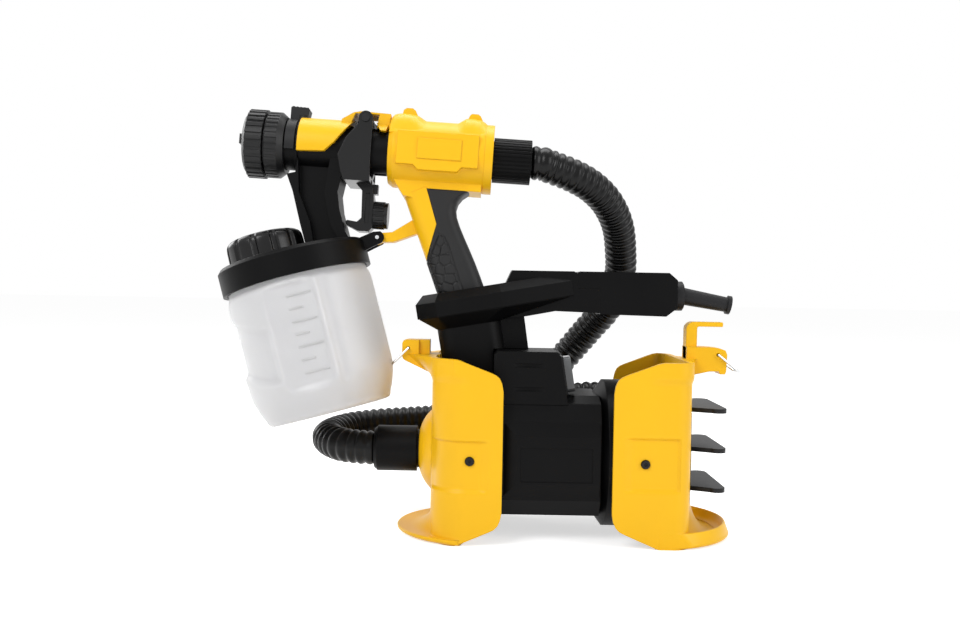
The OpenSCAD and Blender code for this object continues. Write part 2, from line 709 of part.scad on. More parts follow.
rim_cut = 17;
rim_shoulder = 30;                  // where the rim begins to narrow toward its tail
rim_tail = [89, 19];                // end of the tail and its half width
rim_low = 4;                        // the rim's side starts this far over the holster's middle
rim_bevel = 7;
rim_top = rim_low + rim_tall + rim_bevel;
flare_drop = 11;
holster_floor = 23;
module rim_plan(in) polygon([
    [in - rim_len / 2, in / 2 + rim_cut - rim_width / 2],
    [in / 2 + rim_cut - rim_len / 2, in - rim_width / 2],
    [rim_shoulder, in - rim_width / 2], [rim_tail[0], in - rim_tail[1]],
    [rim_tail[0], rim_tail[1] - in], [rim_shoulder, rim_width / 2 - in],
    [in / 2 + rim_cut - rim_len / 2, rim_width / 2 - in], [in - rim_len / 2, rim_width / 2 - rim_cut - in / 2]
]);
module holster() color(black) difference() {
    union() {
        at_holster() {
            hull() {
                translate([0, 0, rim_low]) linear_extrude(rim_tall) rim_plan(0);
                translate([0, 0, rim_top - 1]) linear_extrude(1) rim_plan(rim_bevel);
            }
            hull() {
                translate([0, 0, rim_low - 0.5]) linear_extrude(1) rim_plan(1.4);
                translate([0, 0, rim_low - flare_drop]) linear_extrude(1)
                    round_rect(tube_len, tube_width, 14);
            }
            translate([0, 0, -far / 5]) linear_extrude(far / 5 + rim_low - flare_drop + 1)
                round_rect(tube_len, tube_width, 14);
        }
        // bridge from the rim to the handle, and the strut under it
        at_base() slab(-handle_deep / 2, handle_deep / 2) polygon([
            [-50, 178], [-31, handle_z - 2.5], [-8, handle_z + 2],
            [bridge_x + bridge_step, handle_z + 1],
            [bridge_x + bridge_step, handle_z + handle_tall * 0.6],
            [bridge_x, handle_z + handle_tall * 0.6],
            [bridge_x, handle_z + handle_tall - 1.5], [bridge_x - 3, handle_z + handle_tall],
            [-44, handle_z + handle_tall], [-49, handle_z + handle_tall - 11],
            [-50, handle_z + 7]
        ]);
        at_base() slab(-12, 12) polygon([
            [strut_x[0] - 8, 186], [strut_x[1] - 2, 186], [strut_x[1] + 9, 112], [strut_x[0] - 8, 112]
        ]);
    }
    // the socket that takes the grip, down to the floor that its butt rests on
    difference() {
        at_holster() translate([0, 0, rim_low - flare_drop - holster_floor - 10])
            linear_extrude(far) round_rect(tube_len - 2 * tube_wall, tube_width - 2 * tube_wall, 11);
        at_grip() translate([-far, -far, -2 * far - grip_len]) cube(2 * far);
    }
    at_holster() hull() {
        translate([0, 0, rim_top]) linear_extrude(1) polygon([
            [-32, -12], [-20, -25], [18, -25], [28, -14], [28, 14], [18, 25], [-20, 25], [-32, 12]]);
        translate([0, 0, rim_low - 2]) linear_extrude(1)
            round_rect(tube_len - 2 * tube_wall, tube_width - 2 * tube_wall, 11);
    }
    // where the tube and the strut stand on the housing and the switch box
    at_base() translate([-far, -far, -far]) cube([2 * far, 2 * far, far + axis_z]);
    body_prism_clear();
    at_base() translate([box_x[0] - seat_gap, box_y[0] - 1, 60])
        cube([box_x[1] - box_x[0] + 20, box_y[1] - box_y[0] + 1 + seat_gap, switch_top - 60 + seat_gap]);
}
module body_prism_clear()
    at_base() translate([-far, 0, axis_z]) rotate([90, 0, 90]) linear_extrude(2 * far) body_section();

module handle_solid() at_base() difference() {
    slab(-handle_deep / 2, handle_deep / 2) polygon([
        [bridge_x, handle_z + handle_tall * 0.6], [bridge_x + bridge_step, handle_z + handle_tall * 0.6],
        [bridge_x + bridge_step, handle_z], [handle_end - 9, handle_z - 1], [handle_end, handle_z + 6],
        [handle_end, handle_z + handle_tall - 6], [handle_end - 7, handle_z + handle_tall],
        [bridge_x + 2, handle_z + handle_tall], [bridge_x, handle_z + handle_tall - 1.5]
    ]);
    // long edges are chamfered
    for (s = [-1, 1]) {
        translate([-far, s * handle_deep / 2, handle_z + handle_tall]) rotate([45, 0, 0])
            cube([2 * far, 8, 8], center = false);
    }
    // room inside for the cord
    slab(-handle_deep / 2 + 3, handle_deep / 2 - 3) polygon([
        [bridge_x + bridge_step + 3, handle_z + 3], [handle_end - 12, handle_z + 3],
        [handle_end - 4, handle_z + 9],
        [handle_end - 4, handle_z + handle_tall - 9], [handle_end - 10, handle_z + handle_tall - 5],
        [bridge_x + bridge_step + 3, handle_z + handle_tall - 5]
    ]);
    translate([0, 0, sleeve_z]) along_x(sleeve_r + 0.1, handle_end - 10, handle_end + 1);
}
module handle_front() color(black) intersection() {
    handle_solid();
    front_side();
}
module handle_back() color(black) intersection() {
    handle_solid();
    back_side();
}

module cord_sleeve() color(black) at_base() translate([handle_end, 0, sleeve_z]) difference() {
    union() {
        along_x(sleeve_r, -3.5, eps);
        along_x(collar_r - 1.5, 0, collar_len);
        along_x(collar_r, 1, collar_len - 1);
        translate([collar_len, 0, 0]) rotate([0, 90 + sleeve_droop, 0]) {
            translate([0, 0, -1.5]) cylinder(r1 = sleeve_r, r2 = sleeve_tip_r, h = sleeve_len + 1.5);
            translate([0, 0, sleeve_len - 1.5]) cylinder(r = sleeve_tip_r + 1.6, h = 3);
        }
    }
    translate([collar_len, 0, 0]) rotate([0, 90 + sleeve_droop, 0]) translate([0, 0, -1.5])
        cylinder(r = cord_bore / 2, h = sleeve_len + 6);
    along_x(cord_bore / 2 + 1, -5, collar_len - 0.5);
}

// ---------- switch ----------

module switch_box() color(black) difference() {
    at_base() slab(box_y[0], box_y[1]) polygon([
        [box_x[0], axis_z + 30], [box_x[0], switch_top - 3], [box_x[0] + 3, switch_top],
        [box_x[1] - 3, switch_top], [box_x[1], switch_top - 3],
        [box_x[1] + (switch_top - axis_z - 30) * tan(switch_tilt), axis_z + 30]
    ]);
    // hollow inside
    at_base() slab(box_y[0] + 2.6, box_y[1] - 2.6) polygon([
        [box_x[0] + 2.6, axis_z + 40], [box_x[0] + 2.6, switch_top - 3],
        [box_x[1] - 3, switch_top - 3], [box_x[1] + 6, axis_z + 40]
    ]);
    body_prism_clear();
    at_switch() translate([-10, -rocker_w / 2 - 2.2, -rocker_h / 2 - 2.2])
        cube([20, rocker_w + 4.4, rocker_h + 4.4]);
    // two shallow dents in the front
    for (z = [switch_top - 11, axis_z + 56]) at_base() translate([(box_x[0] + box_x[1])
        / 2 + 2, box_y[0] - 38, z])
        scale([1, 1, 1]) cylinder(r = 40, h = 3, center = true);
}

module switch_frame() color(coal) at_switch() difference() {
    union() {
        translate([0, -rocker_w / 2 - 4, -rocker_h / 2 - 4]) cube([2.4, rocker_w + 8, rocker_h + 8]);
        translate([-16, -rocker_w / 2 - 2, -rocker_h / 2 - 2]) cube([16 + eps, rocker_w + 4, rocker_h + 4]);
    }
    translate([-8, -rocker_w / 2 - 0.3, -rocker_h / 2 - 0.4]) cube([20, rocker_w + 0.6, rocker_h + 0.8]);
    translate([-0.5, 0, 0]) along_y(1.2 + run_fit, -rocker_w / 2 - 1.5, rocker_w / 2 + 1.5);
}
module rocker() color("#141416") at_switch() translate([-0.5, 0, 0]) rotate([0, rocker_rest, 0])
    translate([0.5, 0, 0]) {
    slab(-rocker_w / 2, rocker_w / 2) polygon([
        [-4, -rocker_h / 2 + 4], [-0.5, -rocker_h / 2 + 0.8], [3.4, -rocker_h / 2 + 0.8], [2.2, 0],
        [3.4, rocker_h / 2 - 0.8], [-0.5, rocker_h / 2 - 0.8], [-4, rocker_h / 2 - 4]
    ]);
    translate([-0.5, 0, 0]) along_y(1.2, -rocker_w / 2 - 1.2, rocker_w / 2 + 1.2);
}
module switch_boot() color(clear) at_switch() difference() {
    translate([2.4, 0, 0]) rotate([0, 90, 0]) linear_extrude(6) round_rect(rocker_h + 6, rocker_w + 6, 4);
    translate([2.3, 0, 0]) rotate([0, 90, 0]) linear_extrude(5.2) round_rect(rocker_h + 4, rocker_w + 4, 3);
}

// ---------- hose ----------

// A point of the gun's frame on the barrel's axis, seen from the base
function gun_point(x) = let (z = gun_z - lean_z - x * sin(gun_pitch))
    [gun_x + x * cos(gun_pitch), z * sin(gun_lean), lean_z + z * cos(gun_lean)];
hose_in_gun = rear_x[1] + gun_connector_len - socket_deep;
hose_in_base = left_end - bumper_wall - boss_tall - connector_len + socket_deep;
// The route's points, from the base to the gun
hose_route = [
    [hose_in_base, 0, axis_z], [-152, 0, axis_z], [-166, 0, axis_z], [-187, 9, 68], [-201, 38, 70],
        [-188, 69, 73],
    [-160, 82, 76], [-110, 84, 80], [-50, 84, 88], [0, 84, 98], [35, 85, 104], [65, 90, 96],
    [82, 97, 70], [74, 104, 42], [46, 110, 28], [12, 115, 30], [-15, 119, 48], [-23, 123, 76],
    [-12, 128, 108], [18, 132, 144], [36, 124, 167], [49, 114, 184], [56, 101, 202], [59, 87, 221],
    [57, 74, 239], [53, 60, 257], [46, 47, 271], [36, 35, 283], [22, 23, 293], [6, 14, 300],
    [-12, 9, 306], gun_point(hose_in_gun + 29), gun_point(hose_in_gun + 14), gun_point(hose_in_gun)
];
steps = 14;
function spline(p, i, t) = let (
        a = p[max(i - 1, 0)], b = p[i], c = p[i + 1], d = p[min(i + 2, len(p) - 1)])
    0.5 * (2 * b + (c - a) * t + (2 * a - 5 * b + 4 * c - d) * t * t + (3 * b - 3 * c + d - a) * t * t * t);
function smooth(p) = concat(
    [for (i = [0:len(p) - 2], k = [0:steps - 1]) spline(p, i, k / steps)], [p[len(p) - 1]]);
function run_of(p) = [for (i = 0, s = 0; i < len(p);
    s = s + (i < len(p) - 1 ? norm(p[i + 1] - p[i]) : 0), i = i + 1) s];
dense = smooth(hose_route);
run = run_of(dense);
hose_len = run[len(run) - 1];
ribs = floor(hose_len / rib_pitch);
rib_step = hose_len / ribs;
tables = [for (k = [0:2]) [for (i = [0:len(dense) - 1]) [run[i], dense[i][k]]]];
function hose_at(s) = [for (k = [0:2]) lookup(s, tables[k])];
function unit(v) = v / norm(v);
function heading(s) = unit(hose_at(min(s + 3, hose_len)) - hose_at(max(s - 3, 0)));
// Side vectors carried along the route, so that the rings don't twist
function carried(v, t) = unit(v - (v * t) * t);
function sides_along(stops) = [for (i = 0, v = carried([0, 1, 0], heading(stops[0])); i < len(stops);
    i = i + 1, v = i < len(stops) ? carried(v, heading(stops[i])) : v) v];
sides = 8;
function tube_ring(s, v, r) = let (t = heading(s), w = cross(t, v), p = hose_at(s))
    [for (k = [0:sides - 1]) p + r * (cos(360 * k / sides) * v + sin(360 * k / sides) * w)];
// Triangles between ring i and the next, the outside one way round and the bore the other
function band(i, j, flip) = [for (k = [0:sides - 1]) let (
        n = (k + 1) % sides, a = i + k, b = i + n, c = j + k, d = j + n)
    each (flip ? [[a, c, b], [b, c, d]] : [[a, b, c], [b, d, c]])];
skin_stops = [for (i = [0:2 * ribs]) i * rib_step / 2];
bore_stops = [for (i = [0:ribs]) i * rib_step];
skin_sides = sides_along(skin_stops);
groove_r = hose_r - rib_depth;
bore_r = groove_r - hose_wall;
hose_points = concat(
    [for (i = [0:2 * ribs]) each tube_ring(skin_stops[i], skin_sides[i], i % 2 == 0 ? groove_r : hose_r)],
    [for (i = [0:ribs]) each tube_ring(bore_stops[i], skin_sides[2 * i], bore_r)]);
bore_at = sides * (2 * ribs + 1);
hose_faces = concat(
    [for (i = [0:2 * ribs - 1]) each band(i * sides, (i + 1) * sides, false)],
    [for (i = [0:ribs - 1]) each band(bore_at + i * sides, bore_at + (i + 1) * sides, true)],
    band(bore_at, 0, false),
    band(2 * ribs * sides, bore_at + ribs * sides, false));
module hose() color(black) at_base() polyhedron(hose_points, [for (f = hose_faces) [f[0], f[1], f[2]]]);

// The least gap between stretches of the hose that are more than four diameters apart along it
stops_apart = ceil(8 * hose_r / rib_step);
middles = [for (s = bore_stops) hose_at(s)];
self_gap = min([for (i = [0:ribs - stops_apart]) min([for (j = [i + stops_apart:ribs])
    norm(middles[i] - middles[j])])])
    - 2 * hose_r;
echo(hose_length = hose_len, hose_ribs = ribs, least_self_gap = self_gap);

// The socket on the base that the hose is pushed into
module hose_end_base() color(black) at_base()
    translate([left_end - bumper_wall - boss_tall - seat_gap, 0, axis_z]) {
    difference() {
        union() {
            along_x(connector_r, -connector_len + 3, 0);
            translate([-connector_len + seat_gap, 0, 0]) rotate([0, 90, 0])
                cylinder(r1 = connector_r - 2.5, r2 = connector_r, h = 3);
            along_x(spigot_r, -eps, boss_tall + bumper_wall + housing_wall + 3);
        }
        along_x(air_bore_r, -connector_len - 1, far / 8);
        along_x(socket_r, -connector_len - 1, -connector_len + seat_gap + socket_deep);
    }
}

// ---------- gun ----------

module neck_outline() polygon([
    [47, -10], [46, -24], [39, -26], [45, -40], [53, -66], neck_foot[0], neck_foot[1], [90.5, -70],
        [84.5, -52],
    [82, -38], [84, -26], [90, -16], [90, -10]
]);
function lid_point(u, w) = [
    lid_at[0] + u * cos(cup_tilt) - w * sin(cup_tilt), lid_at[1] + u * sin(cup_tilt) + w * cos(cup_tilt)];
neck_foot = [lid_point(16, lid_top), lid_point(52, lid_top)];
neck_half = 17;
web_half = 9;
module gun_body() color(black) difference() {
    union() {
        at_barrel() {
            translate([0, 0, nose_x[0]]) cylinder(r = spigot_nose_r, h = collar_x[0] - nose_x[0] + eps);
            translate([0, 0, collar_x[0]]) cylinder(r = 22, h = 2);
            translate([0, 0, collar_x[0]]) cylinder(r = barrel_r, h = barrel_end - collar_x[0]);
        }
        at_gun() {
            // neck with a flange down each edge and a tube down its middle
            slab(-web_half, web_half) neck_outline();
            slab(-neck_half, neck_half) intersection() {
                neck_outline();
                union() {
                    polygon([[30, -8], [47, -8], [50, -40], [61, -64],
                        lid_point(22, lid_top - 2), lid_point(10, lid_top - 2)]);
                    polygon([[74, -8], [71, -40], [78, -66], lid_point(44, lid_top - 2), [100, -70],
                        [92, -8]]);
                }
            }
            hull() {
                translate([62, 0, -16]) sphere(r = 11, $fn = 32);
                translate([neck_mid[0],
                    0, neck_mid[1]]) rotate([0, -cup_tilt, 0]) cylinder(r = 11, h = 1, $fn = 32);
            }
            // lug for the trigger's pin
            slab(-barrel_r, barrel_r) polygon([
                [pivot[0] - 9, 8], [pivot[0] - 6, pivot[1] + 1], [pivot[0] - 2.5, pivot[1] + 4.5],
                [pivot[0] + 2.5, pivot[1] + 4.5], [pivot[0] + 5, pivot[1] + 1], [pivot[0] + 6, 8]
            ]);
        }
    }
    at_barrel() {
        translate([0, 0, -1]) cylinder(r = nozzle_seat_r, h = 20 + 1);
        cylinder(r = needle_r + 1, h = 118);
        translate([0, 0, 66]) cylinder(r = seal_r, h = 8);
        translate([0, 0, 82]) cylinder(r = air_r, h = far);
    }
    at_gun() translate([pivot[0], 0, pivot[1]]) along_y(trigger_pin_r + run_fit, -far, far);
    // bore for the suction tube
    at_lid() translate([tube_u, 0, lid_top - 1]) cylinder(r = tube_r + run_fit, h = 12);
    at_lid() translate([tube_u, 0, lid_top]) cylinder(r = tube_r - 1.5, h = 50);
    // the lid's top stays flat under the neck
    at_lid() translate([-far, -far, -far]) cube([2 * far, 2 * far, far + lid_top]);
    // slot that the trigger's yoke swings in
    at_gun() slab(-5, 5) polygon([[99, 0], [119.5, 0], [119.5, -30], [97, -30]]);
}
neck_mid = lid_point(tube_u, lid_top);
nozzle_seat_r = 9;
seal_r = 5;

// Front spigot's pieces
module nozzle() color(brass) at_barrel() difference() {
    union() {
        translate([0, 0, 9]) cylinder(r = nozzle_seat_r - 0.05, h = 11);
        translate([0, 0, 4]) cylinder(r1 = 3.4, r2 = 6, h = 5 + eps);
    }
    translate([0, 0, 8.2]) cylinder(r = needle_r + 0.6, h = 20);
    translate([0, 0, 3]) cylinder(r = 1, h = 8);
}
module needle() color(steel) at_barrel() {
    translate([0, 0, 9.3]) cylinder(r1 = 0.6, r2 = needle_r, h = 5);
    translate([0, 0, 14.3 - eps]) cylinder(r = needle_r, h = 118 - 14.3);
    // the collar that the trigger pulls back
    translate([0, 0, bar_x[1] + 1]) cylinder(r = 8, h = 3);
}
module needle_seal() color("#303236") at_barrel() ring(seal_r - 0.05, needle_r + run_fit, 66.2, 73.8);
// A coil of round wire round the needle
spring_turns = 5;
spring_r = 4.6;
wire_r = 0.7;
spring_at = bar_x[1] + 4.2;
spring_len = 20;
turn_steps = 16;
wire_sides = 6;
spring_pitch = (spring_len - 2 * wire_r) / spring_turns;
function coil_ring(i) = let (
        a = 360 * i / turn_steps, n = [cos(a), sin(a), 0],
        t = unit([-2 * PI * spring_r * sin(a), 2 * PI * spring_r * cos(a), spring_pitch]), b = cross(t, n),
        p = spring_r * n + [0, 0, wire_r + spring_pitch * i / turn_steps])
    [for (k = [0:wire_sides - 1]) p + wire_r * (cos(360 * k / wire_sides) * n + sin(360 * k / wire_sides)
        * b)];
coil_rings = spring_turns * turn_steps;
coil_faces = concat(
    [for (i = [0:coil_rings - 1], k = [0:wire_sides - 1]) let (
            n = (k + 1) % wire_sides, a = i * wire_sides, b = a + wire_sides)
        each [[a + k, a + n, b + k], [a + n, b + n, b + k]]],
    [for (k = [1:wire_sides - 2]) each [[0, k + 1, k],
        [coil_rings * wire_sides, coil_rings * wire_sides + k, coil_rings * wire_sides + k + 1]]]);
module needle_spring() color(steel) at_barrel() translate([0, 0, spring_at])
    polyhedron([for (i = [0:coil_rings]) each coil_ring(i)], coil_faces);
echo(spring_self_gap = spring_pitch - 2 * wire_r);

module air_cap() color(black) at_barrel() difference() {
    union() {
        translate([0, 0, 4]) linear_extrude(14) ribbed(cap_ring_r, 1, 30, 3.4);
        translate([0, 0, 1.2]) cylinder(r1 = cap_ring_r - 5, r2 = cap_ring_r - 1, h = 2.8 + eps);
        for (s = [-1, 1]) scale([1, s, 1]) translate([-4, 13, -1.5]) cube([8, 7, 4]);
    }
    translate([0, 0, 5.5]) cylinder(r = spigot_nose_r + run_fit, h = 20);
    translate([0, 0, -2]) cylinder(r = 7.5, h = 10);
    // the front is dished round the hole
    translate([0, 0, 0.5]) cylinder(r1 = 20, r2 = 12, h = 2.6);
}
module union_nut() color(black) at_barrel() difference() {
    union() {
        translate([0, 0, 18.6]) cylinder(r = nut_r - 2.2, h = 12);
        translate([0, 0, 20]) linear_extrude(10) ribbed(nut_r, 0.7, 36, 2.4);
        translate([0, 0, 30 - eps]) cylinder(r1 = nut_r, r2 = nut_r - 4, h = 5);
    }
    translate([0, 0, 18]) cylinder(r = spigot_nose_r + run_fit, h = 20);
}
module pattern_lever() color(coal) {
    at_barrel() difference() {
        ring(spigot_nose_r + 3, spigot_nose_r + run_fit, 36, 44);
        // open below, where the neck is
        rotate(0) translate([6, -far, 0]) cube([far, 2 * far, far]);
    }
    at_gun() slab(-6, 6) difference() {
        polygon([[36.5, 20.8], [36.5, 32], [38, 33], [51, 32.4], [52.3, 30.8], [51.4, 25.8],
            [43.8, 24.9], [43.8, 20.8]]);
        for (x = [39.6:3:50]) translate([x, 32.4]) square([1.2, 3]);
    }
}

// Yellow cover over the barrel, cut back on a slant round the trigger's yoke
module top_shell() color(yellow) at_gun() difference() {
    union() {
        intersection() {
            along_x(shell_r, shell_x[0], shell_x[1]);
            slab(-far, far) polygon([
                [shell_x[0] - 1, 50], [shell_x[0] - 1, -7], [69, -6], [77, 2], [86, 15], [95, 29.5],
                [105.9, 29], [113.5, 14.8], [118.5, 14.5], [121, 29], [121, 50]
            ]);
        }
        slab(-13, 13) polygon([
            [80, 20], [80.6, 23.6], [90.3, 29.8], [96.3, 31], [121, 30.3], [121, 18], [110, 18],
            [pivot[0] + 10, pivot[1] + 5.5], [pivot[0] - 10, pivot[1] + 5.5], [pivot[0] - 14, 18]
        ]);
    }
    along_x(barrel_r + seat_gap, 0, 200);
    slab(-far, far) polygon([
        [pivot[0] - 10.5, 5], [pivot[0] - 7, pivot[1] + 1.3], [pivot[0] - 3, pivot[1] + 5.2],
        [pivot[0] + 3, pivot[1] + 5.2], [pivot[0] + 7, pivot[1] + 2], [pivot[0] + 8, 5]
    ]);
}

module trigger() color(black) {
    at_gun() difference() {
        union() {
            for (s = [-1, 1]) scale([1, s, 1]) slab(plate_in, plate_in + plate_t) trigger_plate();
            slab(-plate_in - plate_t, plate_in + plate_t) polygon([
                [86, -23.6], [bar_x[0] + 8.6, -23.6], [bar_x[0] + 8.8, -28.5], [87, -28.5]
            ]);
            slab(-7.5, 7.5) polygon([
                [bar_x[0] - 1, -25], [bar_x[0] + 9, -25], [bar_x[1], -40], [bar_x[1], bar_foot + 3],
                [bar_x[1] - 3, bar_foot],
                [bar_x[0], bar_foot], [90, -63.5], [88.6, -61], [90.5, -59.6], [bar_x[0] - 1, -60.5],
                [bar_x[0] + 2.5, -57],
                [bar_x[0] + 1.5, -34], [bar_x[0] - 4, -28.5]
            ]);
            // the finger that draws the needle back by its collar
            slab(-4, 4) polygon([
                [bar_x[0], -26], [bar_x[0] + 8, -26], [bar_x[1] + 0.7, -10], [bar_x[1] + 0.7, -4.8],
                [bar_x[1] - 2, -4.8], [bar_x[0] + 3, -13]
            ]);
            // the nub behind the bar
            translate([bar_x[1] - 3, -4, -36]) cube([5.5, 8, 8]);
        }
        translate([pivot[0], 0, pivot[1]]) along_y(trigger_pin_r + run_fit, -far, far);
        // flute down each side of the bar
        for (s = [-1, 1]) scale([1, s, 1]) slab(6, 10) polygon([
            [bar_x[0] + 5, -36], [bar_x[0] + 8.5, -36], [bar_x[0] + 8.5, -61], [bar_x[0] + 5, -61]]);
        translate([0, 0, knob_z]) along_x(3 + run_fit, bar_x[0] + 6, bar_x[1] + 1);
    }
}
trigger_corners = [[90, -63.5], [bar_x[0], bar_foot], [bar_x[1] - 3, bar_foot]];
trigger_reach = max([for (p = trigger_corners) norm(p - pivot)]);
module trigger_plate() {
    translate([pivot[0], pivot[1]]) circle(r = 5.8);
    polygon([
        [pivot[0] - 4.6, pivot[1] + 3.5], [96, 19], [86, 6], [80.5, -8], [84, -22], [87, -28.5],
        [bar_x[0] + 8.8, -28.5],
        [bar_x[0] + 8, -10], [pivot[0] + 5.8, pivot[1]]
    ]);
}
module trigger_pin() color(steel) at_gun() translate([pivot[0], 0, pivot[1]]) {
    along_y(trigger_pin_r, -plate_in - plate_t - 0.5, plate_in + plate_t + 0.5);
    for (s = [-1, 1]) scale([1, s, 1])
        along_y(trigger_pin_r + 1.4, plate_in + plate_t + run_fit, plate_in + plate_t + 1.2);
}
module flow_knob() color(coal) at_gun() translate([bar_x[1] + 0.3, 0, knob_z]) {
    rotate([0, 90, 0]) linear_extrude(knob_len - 3) ribbed(knob_r, 0.9, 22, 1.7);
    along_x(knob_r - 0.6, knob_len - 3 - eps, knob_len);
    along_x(3, -5, eps);
}

// Yellow rear housing and the front of the grip, in two halves
module rear_solid() {
    at_barrel() difference() {
        union() {
            translate([0, 0, rear_x[0]]) cylinder(r1 = rear_r - 2.5, r2 = rear_r, h = 4);
            translate([0, 0, rear_x[0] + 4 - eps]) cylinder(r = rear_r, h = rear_x[1] - rear_x[0] - 4);
        }
    }
    at_gun() {
        // the two bumps on top
        slab(-9, 9) polygon([
            [128, 20], [131, 35.5], [133.5, 37.3], [138.5, 37.3], [141, 35.5], [146, 26], [183, 26],
            [186.5, 34.5],
            [188, 36], [193.5, 36], [195.5, 34.5], [201, 24]
        ]);
        // the stepped panel on each side, where a badge would sit
        for (s = [-1, 1]) scale([1, s, 1]) {
            slab(20, rear_r + 0.6) polygon([[129, 14], [196, 14], [196, -13], [183, -13], [179, -17],
                [147, -17], [143, -13], [129, -13]]);
            slab(20, rear_r + 1.6) polygon([[146, 9], [182, 9], [182, -8], [146, -8]]);
        }
        translate([rear_x[1] - 7, 0, 0]) along_x(rear_r + 0.4, 0, 7);
        slab(-grip_thick / 2 + 0.6, grip_thick / 2 - 0.6) grip_root();
    }
}
// Where the grip grows out of the housing
module grip_root() polygon([
    [126, -14], [127, -24], [136, -37], [150, -39], [158.2, -39], [155, -30], [200, -30], [200, -14]
]);
// The sleeve's tail under the housing
module grip_tail() polygon([
    [150, -29], [192, -29], [186, -33.4], [182, -39], [180.2, -45], [181.5, -52], [160, -60]
]);
module grip_section(deep, thick, r) round_rect(deep, thick, r);
module grip_front_cut()
    slab(-far, far) polygon([[-far, 10], [1.3, 10], [-1.4, -32], [-grip_deep / 2 - 0.7, -58.5], [-far, -59]]);
module grip_front_block() at_grip() intersection() {
    translate([0, 0, -64]) linear_extrude(64) grip_section(grip_deep, grip_thick, 10);
    grip_front_cut();
}
module grip_core() at_grip() translate([0, 0, -grip_len + rubber]) linear_extrude(grip_len - rubber + 4)
    grip_section(core_deep, core_thick, 7);
module grip_shells() {
    difference() {
        union() {
            rear_solid();
            grip_front_block();
            grip_core();
            brace_arm();
        }
        at_barrel() {
            // rings inside hold the barrel and the hose's end
            translate([0, 0, rear_x[0] - 1])
                cylinder(r = barrel_r + seat_gap, h = barrel_end + seat_gap - rear_x[0] + 1);
            translate([0, 0, rear_x[0] + 12]) cylinder(r = rear_r - gun_wall - 1, h = 24);
            translate([0, 0, barrel_end - 6]) cylinder(r = air_r + 4, h = rear_x[1] - barrel_end - 8);
            translate([0, 0, rear_x[1] - 16]) cylinder(r = gun_spigot_r + run_fit, h = 20);
            translate([0, 0, rear_x[0] - 10]) cylinder(r = rear_r - 4, h = 11);
        }
        for (p = gun_screw_at) at_gun() translate([p[0], 0, p[1]]) {
            along_y(1.5, -8, far / 4);
            along_y(3.2, 9, far);
        }
    }
}
gun_screw_at = [[150, -25], [190, -24.5]];
brace_at = lid_point(lug_u, lug_w);
module brace_arm() at_gun() {
    slab(-lug_gap, lug_gap) polygon([
        [brace_at[0] + 1.5, brace_at[1] + 4], [brace_at[0] + 12, brace_at[1] + 5.5], [144, -56],
        [150, -50], [156, -62],
        [150, -66.5], [brace_at[0] + 14, brace_at[1] - 2.5], [brace_at[0] + 2, brace_at[1] - 3.6]
    ]);
    translate([brace_at[0], 0, brace_at[1]]) along_y(lug_r - 0.6, -lug_gap, lug_gap);
}
module brace_bore() at_gun()
    translate([brace_at[0], 0, brace_at[1]]) along_y(brace_pin_r + run_fit, -far, far);
module grip_shell_left() color(yellow) difference() {
    intersection() {
        grip_shells();
        gun_half(-1);
    }
    brace_bore();
}
module grip_shell_right() color(yellow) difference() {
    intersection() {
        grip_shells();
        gun_half(1);
    }
    brace_bore();
}
module gun_half(s) at_gun() scale([1, s, 1]) translate([-far, 0, -far]) cube([2 * far, far, 2 * far]);

module grip_sleeve() color("#232325") difference() {
    union() {
        at_grip() translate([0, 0, -grip_len]) linear_extrude(grip_len - 2)
            grip_section(grip_deep, grip_thick, 10);
        at_gun() slab(3 - grip_thick / 2, grip_thick / 2 - 3) grip_tail();
    }
    at_grip() grip_front_cut();
    grip_core();
    at_barrel() cylinder(r = rear_r + 0.4, h = far);
    at_gun() slab(-far, far) grip_root();
    brace_arm();
}
module gun_screws() color(steel) for (p = gun_screw_at) at_gun() translate([p[0], 0, p[1]]) {
    along_y(1.45, -7.5, 9.5);
    along_y(3, 9.2, 12);
}
module brace_pin() color(steel) at_gun() translate([brace_at[0], 0, brace_at[1]])
    along_y(brace_pin_r, -lug_gap - lug_t - 0.8, lug_gap + lug_t + 0.8);

module hose_end_gun() color(black) at_barrel() difference() {
    union() {
        translate([0, 0, rear_x[1] + seat_gap]) linear_extrude(gun_connector_len - seat_gap)
            ribbed(gun_connector_r, 0.5, 36, 2.2);
        translate([0, 0, rear_x[1] - 14]) cylinder(r = gun_spigot_r, h = 15);
    }
    translate([0, 0, rear_x[1] - 20]) cylinder(r = air_bore_r, h = far / 4);
    translate([0, 0, rear_x[1] + gun_connector_len - socket_deep]) cylinder(r = socket_r, h = 40);
}

// ---------- lid and cup ----------

